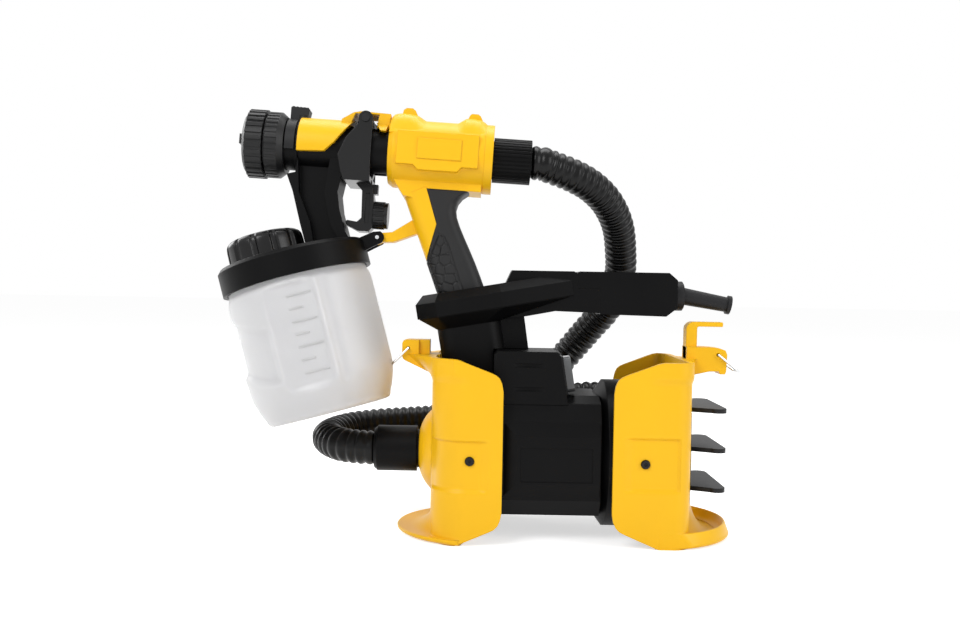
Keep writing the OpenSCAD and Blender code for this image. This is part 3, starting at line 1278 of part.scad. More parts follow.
module container_lid() color(black) difference() {
    union() {
        at_lid() {
            translate([0, 0, -lid_top]) cylinder(r = lid_r, h = lid_tall - 3);
            translate([0, 0, lid_top - 3]) cylinder(r1 = lid_r, r2 = lid_r - 2.5, h = 3);
            translate([filler_u, 0, lid_top - lid_deck]) cylinder(r = filler_r - 3, h = lid_deck);
        }
        // the ears that the brace is pinned to
        for (s = [-1, 1]) at_lid() scale([1, s, 1]) {
            slab(lug_gap + 0.2, lug_gap + lug_t) polygon([
                [lid_r - 12, lid_top - 1.5], [lug_u, lug_w + lug_r], [lug_u, lug_w - lug_r],
                [lid_r - 12, lug_w - lug_r - 5]]);
            translate([lug_u, 0, lug_w]) along_y(lug_r, lug_gap + 0.2, lug_gap + lug_t);
        }
    }
    // room for the trigger's foot as it swings past the ears
    at_gun() translate([pivot[0], 0, pivot[1]]) along_y(trigger_reach + 0.5, -lug_gap - 4, lug_gap + 4);
    at_lid() {
        translate([0, 0, -lid_top - 1]) cylinder(r = lid_r - lid_skirt, h = lid_tall - lid_deck + 1);
        translate([filler_u, 0, -far / 2]) cylinder(r = filler_hole, h = far);
        translate([tube_u, 0, -far / 2]) cylinder(r = tube_r + run_fit, h = far);
    }
    brace_bore();
}
module filler_cap() color(coal) at_lid() translate([filler_u, 0, lid_top]) {
    crown_r = filler_r - 4;
    crown = 3.2;
    shoulder = filler_tall - crown - filler_side;
    dome_r = (crown_r * crown_r + crown * crown) / (2 * crown);
    translate([0, 0, turn_gap / 2]) linear_extrude(filler_side - turn_gap / 2) ribbed(filler_r, 1.2, 14, 9);
    translate([0, 0, filler_side - eps]) cylinder(r1 = filler_r - 0.6, r2 = crown_r, h = shoulder + eps);
    translate([0, 0, filler_tall - dome_r]) intersection() {
        sphere(r = dome_r);
        translate([0, 0, dome_r - crown - 1]) cylinder(r = crown_r, h = far);
    }
    translate([0, 0, -lid_deck + 1]) cylinder(r = filler_hole - run_fit - turn_gap, h = lid_deck);
}
module lid_gasket() color("#6b6f73") at_lid()
    ring(cup_r - 0.5, cup_r - 9, lid_top - lid_deck - gasket_t, lid_top - lid_deck);

// The cup's outside, or its inside when it is drawn in by the wall
module cup_form(inset) {
    top = lid_top - lid_deck - gasket_t - turn_gap;
    foot = -lid_top - cup_tall;
    low = inset == 0 ? 0 : inset;
    difference() {
        rotate_extrude() polygon([
            [0, foot + low], [cup_r - 11 - inset, foot + low], [cup_r - 8 - inset, foot + 1.5 + low],
            [cup_r - 2.5 - inset * 0.9, foot + 27],
            [cup_r - 0.5 - inset, -80], [cup_r + 1 - inset, -24], [cup_r + 1 - inset, -16],
            [cup_r - 2.5 - inset, -13],
            [cup_r - 2.5 - inset, -9], [cup_r - inset, -8], [cup_r - inset, top + (inset > 0 ? 1 : 0)],
            [0, top + (inset > 0 ? 1 : 0)]
        ]);
        // thumb hold on the nozzle side
        slab(-far, far) polygon([
            [-cup_r - 9, -30 + inset], [-cup_r + 2 + inset, -35 + inset], [-cup_r + 4 + inset, -40],
            [-cup_r + 4 + inset, -70],
            [-cup_r + 2 + inset, -76 - inset], [-cup_r - 9, -79 - inset]
        ]);
        // flat front for the scale
        rotate([0, 0, -17]) translate([-16, -far - cup_r + 4.5 + inset, -98]) cube([44, far, 78]);
    }
}
module container() color(milk) at_lid() difference() {
    cup_form(0);
    cup_form(cup_wall);
}
module suction_tube() color("#d8dadd") at_lid() translate([tube_u, 0, 0]) difference() {
    translate([0, 0, -lid_top - cup_tall + 10]) cylinder(r = tube_r, h = cup_tall - 10 + lid_tall + 9);
    translate([0, 0, -far]) cylinder(r = tube_r - 1.5, h = 2 * far);
    translate([0, 0, -lid_top - cup_tall + 8]) rotate([0, 20, 0]) cube([40, 40, 6], center = true);
}

housing_front();
housing_back();
fan_casing();
motor_stator();
motor_end_plate();
ball_bearings();
carbon_brushes();
armature();
motor_shaft();
fan_impellers();
intake_cover();
intake_filter();
left_bumper();
right_bumper();
bumper_screws();
left_strap_ring();
right_strap_ring();
holster();
handle_front();
handle_back();
cord_sleeve();
switch_box();
switch_frame();
rocker();
switch_boot();
hose_end_base();
hose();
hose_end_gun();
gun_body();
top_shell();
grip_shell_left();
grip_shell_right();
grip_sleeve();
gun_screws();
trigger();
trigger_pin();
flow_knob();
needle();
needle_spring();
needle_seal();
nozzle();
air_cap();
union_nut();
pattern_lever();
container_lid();
filler_cap();
lid_gasket();
container();
suction_tube();
brace_pin();
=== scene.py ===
import json
import math
import bpy
import bmesh
import numpy as np
from mathutils import Matrix, Vector


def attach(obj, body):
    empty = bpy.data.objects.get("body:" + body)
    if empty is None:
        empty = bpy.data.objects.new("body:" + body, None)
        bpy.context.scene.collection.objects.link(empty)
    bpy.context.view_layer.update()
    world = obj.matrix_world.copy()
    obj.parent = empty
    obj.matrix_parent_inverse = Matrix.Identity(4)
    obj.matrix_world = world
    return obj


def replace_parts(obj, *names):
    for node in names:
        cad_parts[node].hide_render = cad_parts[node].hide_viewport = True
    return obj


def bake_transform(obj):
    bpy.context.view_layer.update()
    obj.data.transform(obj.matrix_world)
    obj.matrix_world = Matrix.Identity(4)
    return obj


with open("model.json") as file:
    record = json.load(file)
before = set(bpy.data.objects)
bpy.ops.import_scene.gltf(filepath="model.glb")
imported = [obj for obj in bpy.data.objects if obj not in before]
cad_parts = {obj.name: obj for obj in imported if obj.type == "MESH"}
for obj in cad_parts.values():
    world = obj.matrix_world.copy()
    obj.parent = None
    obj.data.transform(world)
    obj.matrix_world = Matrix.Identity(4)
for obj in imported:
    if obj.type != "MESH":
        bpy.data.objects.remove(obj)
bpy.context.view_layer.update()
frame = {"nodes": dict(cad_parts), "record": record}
NODES = frame["nodes"]

# Lengths below are in millimetres; MM turns them into the scene's metres.
MM = 0.001
BASE_X = 70.5          # middle of the base's footprint
FULL_TURN = 2 * math.pi

# ---------- camera, floor and light ----------
CAMERA_AT = ((BASE_X - 69.7) * MM, -0.870, 0.2046)
CAMERA_DOWN = 1.88     # degrees below the level
CAMERA_ROLL = 1.0
SENSOR_WIDTH = 36.0
LENS = 38.85
FILL_LIGHT = 0.42
FLOOR_REACH = 12
FLOOR_GREY = 0.86
FLOOR_GLOW = 0.62
WHITE = (1, 1, 1, 1)

cam = bpy.data.objects.new("camera", bpy.data.cameras.new("camera"))
bpy.context.scene.collection.objects.link(cam)
cam.data.sensor_width = SENSOR_WIDTH
cam.data.lens = LENS
cam.data.clip_end = 50
cam.matrix_world = (
    Matrix.Translation(CAMERA_AT)
    @ Matrix.Rotation(math.radians(90 - CAMERA_DOWN), 4, "X")
    @ Matrix.Rotation(math.radians(CAMERA_ROLL), 4, "Z")
)
bpy.context.scene.camera = cam
bpy.context.scene.view_settings.view_transform = "Standard"


def node_tree(owner):
    """An empty node tree for a material or world."""
    owner.use_nodes = True
    tree = owner.node_tree
    tree.nodes.clear()
    return tree.nodes, tree.links


def seen_ray(nodes, links):
    """1 for rays from the camera and for those that mirror or pass through a piece."""
    path = nodes.new("ShaderNodeLightPath")
    last = path.outputs["Is Camera Ray"]
    for kind in ("Is Glossy Ray", "Is Transmission Ray"):
        most = nodes.new("ShaderNodeMath")
        most.operation = "MAXIMUM"
        links.new(last, most.inputs[0])
        links.new(path.outputs[kind], most.inputs[1])
        last = most.outputs[0]
    return last


def make_world():
    """A white backdrop, and a softer even light on the object."""
    world = bpy.data.worlds.new("studio")
    bpy.context.scene.world = world
    nodes, links = node_tree(world)
    out = nodes.new("ShaderNodeOutputWorld")
    mix = nodes.new("ShaderNodeMixShader")
    links.new(seen_ray(nodes, links), mix.inputs["Fac"])
    for slot, strength in ((1, FILL_LIGHT), (2, 1.0)):
        light = nodes.new("ShaderNodeBackground")
        light.inputs["Color"].default_value = WHITE
        light.inputs["Strength"].default_value = strength
        links.new(light.outputs["Background"], mix.inputs[slot])
    links.new(mix.outputs["Shader"], out.inputs["Surface"])


def lamp(name, at, target, size, power):
    light = bpy.data.lights.new(name, "AREA")
    light.shape = "RECTANGLE"
    light.size, light.size_y = size
    light.energy = power
    o = bpy.data.objects.new(name, light)
    bpy.context.scene.collection.objects.link(o)
    o.location = at
    o.rotation_euler = (Vector(target) - Vector(at)).to_track_quat("-Z", "Y").to_euler()


def make_floor():
    """A pale floor that glows to white for the camera and keeps the object's shadow."""
    mesh = bpy.data.meshes.new("floor")
    r = FLOOR_REACH
    mesh.from_pydata([(-r, -r, 0), (r, -r, 0), (r, r, 0), (-r, r, 0)], [], [(0, 1, 2, 3)])
    o = bpy.data.objects.new("floor", mesh)
    bpy.context.scene.collection.objects.link(o)
    material = bpy.data.materials.new("floor")
    nodes, links = node_tree(material)
    out = nodes.new("ShaderNodeOutputMaterial")
    lit = nodes.new("ShaderNodeBsdfDiffuse")
    lit.inputs["Color"].default_value = (FLOOR_GREY, FLOOR_GREY, FLOOR_GREY, 1)
    glow = nodes.new("ShaderNodeEmission")
    glow.inputs["Color"].default_value = WHITE
    scale = nodes.new("ShaderNodeMath")
    scale.operation = "MULTIPLY"
    scale.inputs[1].default_value = FLOOR_GLOW
    links.new(seen_ray(nodes, links), scale.inputs[0])
    links.new(scale.outputs[0], glow.inputs["Strength"])
    add = nodes.new("ShaderNodeAddShader")
    links.new(lit.outputs[0], add.inputs[0])
    links.new(glow.outputs[0], add.inputs[1])
    links.new(add.outputs[0], out.inputs["Surface"])
    mesh.materials.append(material)


make_world()
lamp("key", (-0.9, -1.2, 1.3), (0, 0, 0.16), (0.9, 0.9), 17)
lamp("side", (1.3, -0.8, 0.7), (0, 0, 0.16), (0.7, 1.0), 8)
lamp("top", (0.1, 0.3, 1.6), (0, 0, 0.1), (1.2, 0.7), 12)
lamp("rim", (-1.2, 0.9, 0.8), (0, 0, 0.2), (0.5, 0.9), 6)
make_floor()


# ---------- materials ----------
GRAIN_DEPTH = 0.0002
SCATTER_REACH = (0.012, 0.012, 0.011)


def plastic(name, colour, rough, vary=0.05, grain=2400, bump=0.12, metal=0.0, spec=0.5,
            edge=0.6, blotch=14, sub=0.0):
    """Moulded plastic or metal: colour and roughness vary slowly, with a fine grain over them.

    The edges of the solids are rounded by `edge` in the shading.
    """
    material = bpy.data.materials.new(name)
    nodes, links = node_tree(material)
    out = nodes.new("ShaderNodeOutputMaterial")
    shader = nodes.new("ShaderNodeBsdfPrincipled")
    links.new(shader.outputs[0], out.inputs["Surface"])
    shader.inputs["Metallic"].default_value = metal
    shader.inputs["Specular IOR Level"].default_value = spec
    if sub:
        shader.inputs["Subsurface Weight"].default_value = sub
        shader.inputs["Subsurface Radius"].default_value = SCATTER_REACH
        shader.inputs["Subsurface Scale"].default_value = 1.0
    at = nodes.new("ShaderNodeTexCoord")
    slow = nodes.new("ShaderNodeTexNoise")
    slow.inputs["Scale"].default_value = blotch
    slow.inputs["Detail"].default_value = 5
    links.new(at.outputs["Object"], slow.inputs["Vector"])
    ramp = nodes.new("ShaderNodeValToRGB")
    dark, light = ramp.color_ramp.elements
    dark.position = 0.3
    light.position = 0.7
    dark.color = [c * (1 - vary) for c in colour] + [1]
    light.color = [min(1, c * (1 + vary)) for c in colour] + [1]
    links.new(slow.outputs["Fac"], ramp.inputs["Fac"])
    links.new(ramp.outputs["Color"], shader.inputs["Base Color"])
    sheen = nodes.new("ShaderNodeMapRange")
    sheen.inputs["To Min"].default_value = max(0.04, rough - 0.05)
    sheen.inputs["To Max"].default_value = min(1, rough + 0.07)
    links.new(slow.outputs["Fac"], sheen.inputs["Value"])
    links.new(sheen.outputs[0], shader.inputs["Roughness"])
    fine = nodes.new("ShaderNodeTexNoise")
    fine.inputs["Scale"].default_value = grain
    fine.inputs["Detail"].default_value = 2
    links.new(at.outputs["Object"], fine.inputs["Vector"])
    relief = nodes.new("ShaderNodeBump")
    relief.inputs["Strength"].default_value = bump
    relief.inputs["Distance"].default_value = GRAIN_DEPTH
    links.new(fine.outputs["Fac"], relief.inputs["Height"])
    if edge:
        rounding = nodes.new("ShaderNodeBevel")
        rounding.samples = 4
        rounding.inputs["Radius"].default_value = edge * MM
        links.new(rounding.outputs[0], relief.inputs["Normal"])
    links.new(relief.outputs[0], shader.inputs["Normal"])
    return material


YELLOW = plastic("yellow_shell", (0.90, 0.50, 0.006), 0.36, vary=0.03, bump=0.10, spec=0.28,
                 edge=1.0)
BLACK = plastic("black_plastic", (0.0022, 0.0022, 0.0024), 0.40, vary=0.25, bump=0.16, spec=0.09,
                edge=0.9)
GLOSS = plastic("gloss_black", (0.0035, 0.0035, 0.0038), 0.24, vary=0.2, bump=0.04, spec=0.3,
                edge=0.9)
DARK = plastic("dark_plastic", (0.009, 0.009, 0.010), 0.45, vary=0.2, bump=0.25, spec=0.22,
               edge=0.7)
RUBBER = plastic("grip_rubber", (0.009, 0.009, 0.0095), 0.5, vary=0.2, bump=0.25, spec=0.3,
                 edge=0.9)
HOSE = plastic("hose_rubber", (0.002, 0.002, 0.0022), 0.27, vary=0.2, bump=0.06, spec=0.20, edge=0)
MILK = plastic("cup_plastic", (0.80, 0.80, 0.79), 0.38, vary=0.02, bump=0.08, sub=0.7, edge=0.8)
BOOT = plastic("clear_boot", (0.11, 0.115, 0.12), 0.16, vary=0.10, bump=0.05, edge=0.3)
CAP = plastic("cap_plastic", (0.0085, 0.0085, 0.009), 0.38, vary=0.2, spec=0.26, edge=0.9)
STEEL = plastic("steel", (0.60, 0.61, 0.62), 0.28, bump=0.1, metal=1.0, edge=0.2)
BRASS = plastic("brass", (0.72, 0.50, 0.20), 0.3, vary=0.06, bump=0.1, metal=1.0, edge=0.2)
COPPER = plastic("copper", (0.60, 0.26, 0.12), 0.35, vary=0.1, bump=0.2, metal=1.0, edge=0.2)
FOAM = plastic("foam", (0.05, 0.055, 0.06), 0.95, vary=0.3, grain=1200, bump=1.0, edge=0)

BY_SLOT = {
    "yellow_shell": YELLOW, "black_plastic": BLACK, "gloss_black": GLOSS, "dark_plastic": DARK,
    "grip_rubber": RUBBER, "hose_rubber": HOSE, "cup_plastic": MILK, "clear_boot": BOOT,
    "steel": STEEL, "brass": BRASS, "copper": COPPER, "foam": FOAM,
}
CAP_NODES = ("air_cap", "union_nut")
for part in frame["record"]["subparts"]:
    slots = NODES[part["node"]].data.materials
    slots.clear()
    slots.append(CAP if part["node"] in CAP_NODES else BY_SLOT[part["material_slot"]])


# ---------- curves and meshes ----------
def ease(a, b, x):
    """0 before a, 1 after b, and a smooth step between them."""
    t = np.clip((x - a) / (b - a), 0, 1)
    return t * t * (3 - 2 * t)


def bell(x, wide):
    return np.exp(-(x / wide) ** 2)


def along(table, x):
    """Value of a table of (place, value), in order of place, at x."""
    return np.interp(x, [row[0] for row in table], [row[1] for row in table])


def run_along(points):
    """Way run at each point of a line."""
    return np.concatenate([[0], np.cumsum(np.linalg.norm(np.diff(points, axis=0), axis=1))])


def evenly(points, run, count):
    """A line with that run at its points, cut into count even places."""
    s = np.linspace(0, run[-1], count)
    return np.stack([np.interp(s, run, points[:, k]) for k in range(points.shape[1])], 1)


def smooth(points, cuts):
    """Catmull-Rom curve through the points, with each stretch in that many cuts."""
    p = np.array(points, float)
    dense = []
    for i in range(len(p) - 1):
        a, b, c, d = p[max(i - 1, 0)], p[i], p[i + 1], p[min(i + 2, len(p) - 1)]
        for t in np.arange(cuts) / cuts:
            bend = 2 * a - 5 * b + 4 * c - d + t * (3 * (b - c) + d - a)
            dense.append(b + 0.5 * t * (c - a + t * bend))
    dense.append(p[-1])
    return np.array(dense)


def curve_through(points, count):
    """Points joined by a smooth curve and cut into count even places."""
    dense = smooth(points, 16)
    return evenly(dense, run_along(dense), count)


def grid_faces(rows, cols, closed=True, start=0):
    """Quads between rows of points; the rows are rings when closed."""
    faces = []
    for i in range(rows - 1):
        low, high = start + i * cols, start + (i + 1) * cols
        for k in range(cols if closed else cols - 1):
            n = (k + 1) % cols
            faces.append((low + k, low + n, high + n, high + k))
    return faces


def turned_over(faces):
    return [tuple(reversed(f)) for f in faces]


def two_skins(rows, cols):
    """Faces of a closed sheet: an outer open grid, an inner one after it, and their edges."""
    n = rows * cols
    faces = grid_faces(rows, cols, closed=False)
    faces += turned_over(grid_faces(rows, cols, closed=False, start=n))
    for k in range(cols - 1):
        last = (rows - 1) * cols + k
        faces.append((k + 1, k, n + k, n + k + 1))
        faces.append((last, last + 1, n + last + 1, n + last))
    for i in range(rows - 1):
        a, b = i * cols, (i + 1) * cols
        faces.append((a, b, n + b, n + a))
        a, b = a + cols - 1, b + cols - 1
        faces.append((b, a, n + a, n + b))
    return faces


def joined(parts):
    """Several closed meshes as one list of points and faces."""
    verts, faces, start = [], [], 0
    for v, f in parts:
        verts.append(np.asarray(v, float))
        faces += [tuple(i + start for i in face) for face in f]
        start += len(v)
    return np.concatenate(verts), faces


def prism(outline, y0, y1):
    """An outline in X and Z made as thick as from y0 to y1."""
    n = len(outline)
    verts = np.array([(x, y, z) for y in (y0, y1) for x, z in outline], float)
    faces = [tuple(range(n)), tuple(range(2 * n - 1, n - 1, -1))]
    faces += [((k + 1) % n, k, n + k, n + (k + 1) % n) for k in range(n)]
    return verts, faces


def placed(points, matrix):
    """Points in millimetres in a frame, as metres in the scene."""
    m = np.array(matrix)
    return np.asarray(points, float) * MM @ m[:3, :3].T + m[:3, 3]


def new_mesh(name, verts, faces):
    mesh = bpy.data.meshes.new(name)
    mesh.from_pydata([tuple(v) for v in verts], [], [tuple(f) for f in faces])
    return mesh


def outward(mesh):
    """Faces of every closed part turned outward."""
    b = bmesh.new()
    b.from_mesh(mesh)
    bmesh.ops.recalc_face_normals(b, faces=b.faces)
    b.to_mesh(mesh)
    b.free()


def piece(name, verts, faces, material, body=None, smooth_shading=True):
    """A new piece of the scene, attached to the body when one is given."""
    mesh = new_mesh(name, verts, faces)
    mesh.validate()
    o = bpy.data.objects.new(name, mesh)
    bpy.context.scene.collection.objects.link(o)
    mesh.materials.append(material)
    if smooth_shading:
        mesh.polygons.foreach_set("use_smooth", [True] * len(mesh.polygons))
    if body:
        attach(o, body)
    return o


# ---------- frames of the gun, its lid and its grip, as in the solids ----------
GUN = (
    Matrix.Translation(((BASE_X - 269) * MM, 0, 0.215))
    @ Matrix.Rotation(math.radians(-4), 4, "X")
    @ Matrix.Translation((0, 0, (321.6 - 215) * MM))
    @ Matrix.Rotation(math.radians(3), 4, "Y")
)
LID = (
    GUN
    @ Matrix.Translation((48.6 * MM, 0, -103 * MM))
    @ Matrix.Rotation(math.radians(-18.5), 4, "Y")
)
GRIP_TOP = -29         # of the grip's frame under the gun's axis
GRIP_RAKE = -23        # degrees
GRIP = (
    GUN
    @ Matrix.Translation((154 * MM, 0, GRIP_TOP * MM))
    @ Matrix.Rotation(math.radians(GRIP_RAKE), 4, "Y")
)


def gun_point(x):
    """A place on the gun's axis."""
    return list((GUN @ Vector((x * MM, 0, 0))) / MM)


# ---------- hose ----------
# Middle line from the socket on the base to the one on the gun, as in the solids
ROUTE = [
    [-136.3, 0, 67], [-152, 0, 67], [-166, 0, 67], [-187, 9, 68], [-201, 38, 70], [-188, 69, 73],
    [-160, 82, 76], [-110, 84, 80], [-50, 84, 88], [0, 84, 98], [35, 85, 104], [65, 90, 96],
    [82, 97, 70], [74, 104, 42], [46, 110, 28], [12, 115, 30], [-15, 119, 48], [-23, 123, 76],
    [-12, 128, 108], [18, 132, 144], [36, 124, 167], [49, 114, 184], [56, 101, 202], [59, 87, 221],
    [57, 74, 239], [53, 60, 257], [46, 47, 271], [36, 35, 283], [22, 23, 293], [6, 14, 300],
    [-12, 9, 306],
]
ROUTE = [[x + BASE_X, y, z] for x, y, z in ROUTE]
ROUTE += [gun_point(249), gun_point(234), gun_point(220)]
HOSE_RIBS = 138
RIB_RINGS = 6
HOSE_SIDES = 28
HOSE_VALLEY = 12.6     # radius between the ribs
RIB_HEIGHT = 1.8


def tube(name, p, radii, sides, material):
    """A tube through the points, with its own radius at each, closed at both ends."""
    t = np.gradient(p, axis=0)
    t /= np.linalg.norm(t, axis=1)[:, None]
    v = np.array([0, 1.0, 0]) - t[0] * t[0][1]
    v /= np.linalg.norm(v)
    verts = []
    for i in range(len(p)):
        v = v - t[i] * np.dot(v, t[i])
        v /= np.linalg.norm(v)
        w = np.cross(t[i], v)
        for k in range(sides):
            a = FULL_TURN * k / sides
            verts.append((p[i] + radii[i] * (math.cos(a) * v + math.sin(a) * w)) * MM)
    faces = grid_faces(len(p), sides)
    faces.append(tuple(range(sides - 1, -1, -1)))
    faces.append(tuple((len(p) - 1) * sides + k for k in range(sides)))
    return piece(name, verts, faces, material)


def make_hose():
    dense = smooth(ROUTE, 24)
    run = run_along(dense)
    length = run[-1]
    centre = evenly(dense, run, int(round(length)) + 1)
    pts = evenly(centre, np.linspace(0, length, len(centre)), HOSE_RIBS * RIB_RINGS + 1)
    phase = (np.arange(len(pts)) % RIB_RINGS) / RIB_RINGS
    radii = HOSE_VALLEY + RIB_HEIGHT * np.sin(math.pi * phase)
    o = tube("air_hose", pts, radii, HOSE_SIDES, HOSE)
    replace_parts(o, "hose")
    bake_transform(o)


make_hose()

# ---------- cup ----------
CUP_TOP = 3.0
CUP_WALL = 1.8
CUP_FLOOR = -122.2     # of its inside
CUP_COLUMNS = 288
CUP_FLAT = 56.6        # from the axis to the flat front
CUP_OUTLINE = [
    (46, -124), (49.6, -123.4), (51.7, -121.6), (52.6, -119), (56.4, -110), (59.6, -99),
    (60.4, -90), (60.5, -75), (60.5, -45), (60.5, -26), (60.1, -18.5), (58.9, -15),
    (58.2, -12.5), (58.2, -8), (58.2, CUP_TOP),
]
# rings of the bottom: share of its radius, and how far it has risen
CUP_BOTTOM = [(0.86, 0.2), (0.78, 1.6), (0.5, 2.2), (0.22, 2.4)]
MARK_LEVELS = (-27, -37.5, -48, -58, -68, -78.5, -89, -99)


def cup_radius(angle, w, r):
    """Radius of the cup's outside: thumb holds beside the nozzle side, a flat front with a ridge."""
    off = np.degrees(np.abs(angle - math.pi))
    drop = 15 * ease(12, 66, off)
    upper = ease(-30 - drop, -38 - drop, w)
    lower = ease(-82 - drop * 0.8, -75 - drop * 0.8, w)
    r = r - 2.9 * upper * lower * ease(72, 62, off)
    r = r + 0.7 * bell(w + 81 + drop * 0.8, 4) * ease(76, 60, off)
    window = ease(-104, -97, w) * ease(-15, -19, w)
    for side in (-1, 1):
        turn = (angle - side * math.pi / 2 + math.pi) % FULL_TURN - math.pi
        face = CUP_FLAT / np.maximum(np.cos(turn), 0.2)
        flat = np.where(np.abs(turn) < 0.6, np.minimum(r, face), r)
        r = r + (flat - r) * window
        u = r * np.cos(angle)
        ridge = 0.9 * bell(u - 21.5, 1.5) - 0.9 * bell(u - 27.5, 3.5)
        r = r + (np.abs(turn) < 1.0) * window * ridge
    return r


def make_cup():
    outline = curve_through(CUP_OUTLINE, 96)
    cols = CUP_COLUMNS
    angle = np.linspace(0, FULL_TURN, cols, endpoint=False)
    verts, faces = [], []

    def ring(r, w):
        return np.stack([r * np.cos(angle), r * np.sin(angle), np.full(cols, w)], 1).tolist()

    def skin(inset, low):
        start = len(verts)
        for r, w in outline:
            w = max(w, low)
            verts.extend(ring(cup_radius(angle, np.full(cols, w), np.full(cols, r)) - inset, w))
        return start

    def bottom(start, outer):
        """Shallow rings towards a raised middle."""
        rim = verts[start:start + cols]
        made, prev = [], start
        for share, up in CUP_BOTTOM:
            first = len(verts)
            verts.extend([x * share, y * share, z + up] for x, y, z in rim)
            for k in range(cols):
                j = (k + 1) % cols
                made.append((prev + j, prev + k, first + k, first + j))
            prev = first
        centre = len(verts)
        verts.append([0, 0, rim[0][2] + CUP_BOTTOM[-1][1]])
        made += [(prev + (k + 1) % cols, prev + k, centre) for k in range(cols)]
        faces.extend(made if outer else turned_over(made))

    n = len(outline)
    outside = skin(0, CUP_OUTLINE[0][1])
    inside = skin(CUP_WALL, CUP_FLOOR)
    faces += grid_faces(n, cols, start=outside)
    faces += turned_over(grid_faces(n, cols, start=inside))
    a, b = outside + (n - 1) * cols, inside + (n - 1) * cols
    for k in range(cols):
        j = (k + 1) % cols
        faces.append((a + k, a + j, b + j, b + k))
    bottom(outside, True)
    bottom(inside, False)
    o = piece("cup_body", placed(verts, LID), faces, MILK, "container")
    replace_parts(o, "container")


def make_scale():
    """Raised marks on the cup's flat front, long and short by turns."""
    verts, faces = [], []
    for i, w in enumerate(MARK_LEVELS):
        u0, u1 = -3, (7.5 if i % 2 else 16)
        s = len(verts)
        for y, grow in ((-55.9, 0.55), (-56.95, 0.25)):
            low, high = w - 0.35 - grow, w + 0.35 + grow
            left, right = u0 - grow, u1 + grow
            verts += [[left, y, low], [right, y, low], [right, y, high], [left, y, high]]
        faces.append((s + 4, s + 5, s + 6, s + 7))
        for k in range(4):
            n = (k + 1) % 4
            faces.append((s + k, s + n, s + 4 + n, s + 4 + k))
    piece("cup_scale", placed(verts, LID), faces, MILK, "container",
          smooth_shading=False)


make_cup()
make_scale()

# ---------- filler cap ----------
FILLER_AT = (-19, 0, 11)
FILLER_COLUMNS = 360
FILLER_RIBS = 12
FILLER_GROOVE = 2.1
FILLER_OUTLINE = [
    (31.6, 0.2), (32.2, 1.2), (32.3, 4), (32.2, 10), (32.0, 15), (31.4, 18.2), (29.6, 20.6),
    (26.5, 22.2), (20, 23.3), (10, 23.9), (0.6, 24.0),
]


def make_filler_cap():
    cols = FILLER_COLUMNS
    angle = np.linspace(0, FULL_TURN, cols, endpoint=False)
    rows = curve_through(FILLER_OUTLINE, 60)
    phase = (angle / FULL_TURN * FILLER_RIBS) % 1.0
    groove = ease(0.60, 0.70, phase) * ease(0.99, 0.86, phase)
    verts = []
    for r, z in rows:
        deep = FILLER_GROOVE * ease(23.2, 20.5, z) * ease(0.4, 2.2, z)
        rr = r - deep * groove
        verts.extend(np.stack([rr * np.cos(angle), rr * np.sin(angle), np.full(cols, z)], 1).tolist())
    faces = grid_faces(len(rows), cols)
    faces.append(tuple(range(cols - 1, -1, -1)))
    faces.append(tuple((len(rows) - 1) * cols + k for k in range(cols)))
    at = LID @ Matrix.Translation(Vector(FILLER_AT) * MM)
    return piece("filler_lid", placed(verts, at), faces, GLOSS, "filler_cap")


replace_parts(make_filler_cap(), "filler_cap")

# ---------- grip sleeve ----------
# In the grip's frame: X backwards from its axis, Z up, from the gun's underside down.
GRIP_FRONT = -19.25
GRIP_HALF = 16
GRIP_FRONT_R = 10
GRIP_REAR_R = 9
SLEEVE_WALL = 2.6
RING_CUTS = 1600
SLEEVE_COLUMNS = 281
# height and place of the rear edge, and of the border with the yellow front
REAR_EDGE = [
    (-126, 19.2), (-85, 19.0), (-72, 18.6), (-60, 17.8), (-50, 17.0), (-40, 16.4), (-31, 16.6),
    (-24.5, 18.2), (-19.9, 21.6), (-16.6, 27), (-14.8, 34.3), (-12, 40), (-1, 40),
]
BORDER = [(-200, -60), (-59, -60), (-58.5, -19.95), (-32, -1.4), (10, 1.3)]
# height and place of the two sides of the patterned field
FIELD_REAR = [(-200, 1.0), (-87, 1.2), (-67.5, 1.6), (-54.4, 2.2), (-44, 1.0), (-40, -2.5)]
FIELD_FRONT = [(-200, -40), (-66, -40), (-57.4, -16.5), (-51.4, -11.0), (-41, -2.0)]
FIELD_TOP = -39
TILE_UP = 0.42
CRACK_DEEP = 0.6
RIM_DEEP = 0.95


def grip_ring(rear):
    """Closed outline of the grip from the middle of its front round the -Y side, in even steps."""
    def corner(cx, cy, r, a0, a1):
        return [(cx + r * math.cos(a), cy + r * math.sin(a))
                for a in np.radians(np.linspace(a0, a1, 12))]

    side = [(GRIP_FRONT, 0)]
    side += corner(GRIP_FRONT + GRIP_FRONT_R, GRIP_FRONT_R - GRIP_HALF, GRIP_FRONT_R, 180, 270)
    side += corner(rear - GRIP_REAR_R, GRIP_REAR_R - GRIP_HALF, GRIP_REAR_R, 270, 360)
    side.append((rear, 0))
    loop = np.array(side + [(x, -y) for x, y in side[::-1][1:]])
    run = run_along(loop)
    return evenly(loop, run, RING_CUTS + 1), run[-1]


def tile_seeds():
    """Middles of the crazed pattern's tiles, in arc length from the front's middle and height."""
    rng = np.random.RandomState(11)
    seeds = []
    for i in range(-6, 7):
        for j in range(12):
            p = i * 8.6 + (4.0 if j % 2 else 0) + rng.uniform(-2.2, 2.2)
            q = -38 - j * 8.4 + rng.uniform(-2.2, 2.2)
            seeds.append((p, q - 0.25 * abs(p)))
    return seeds


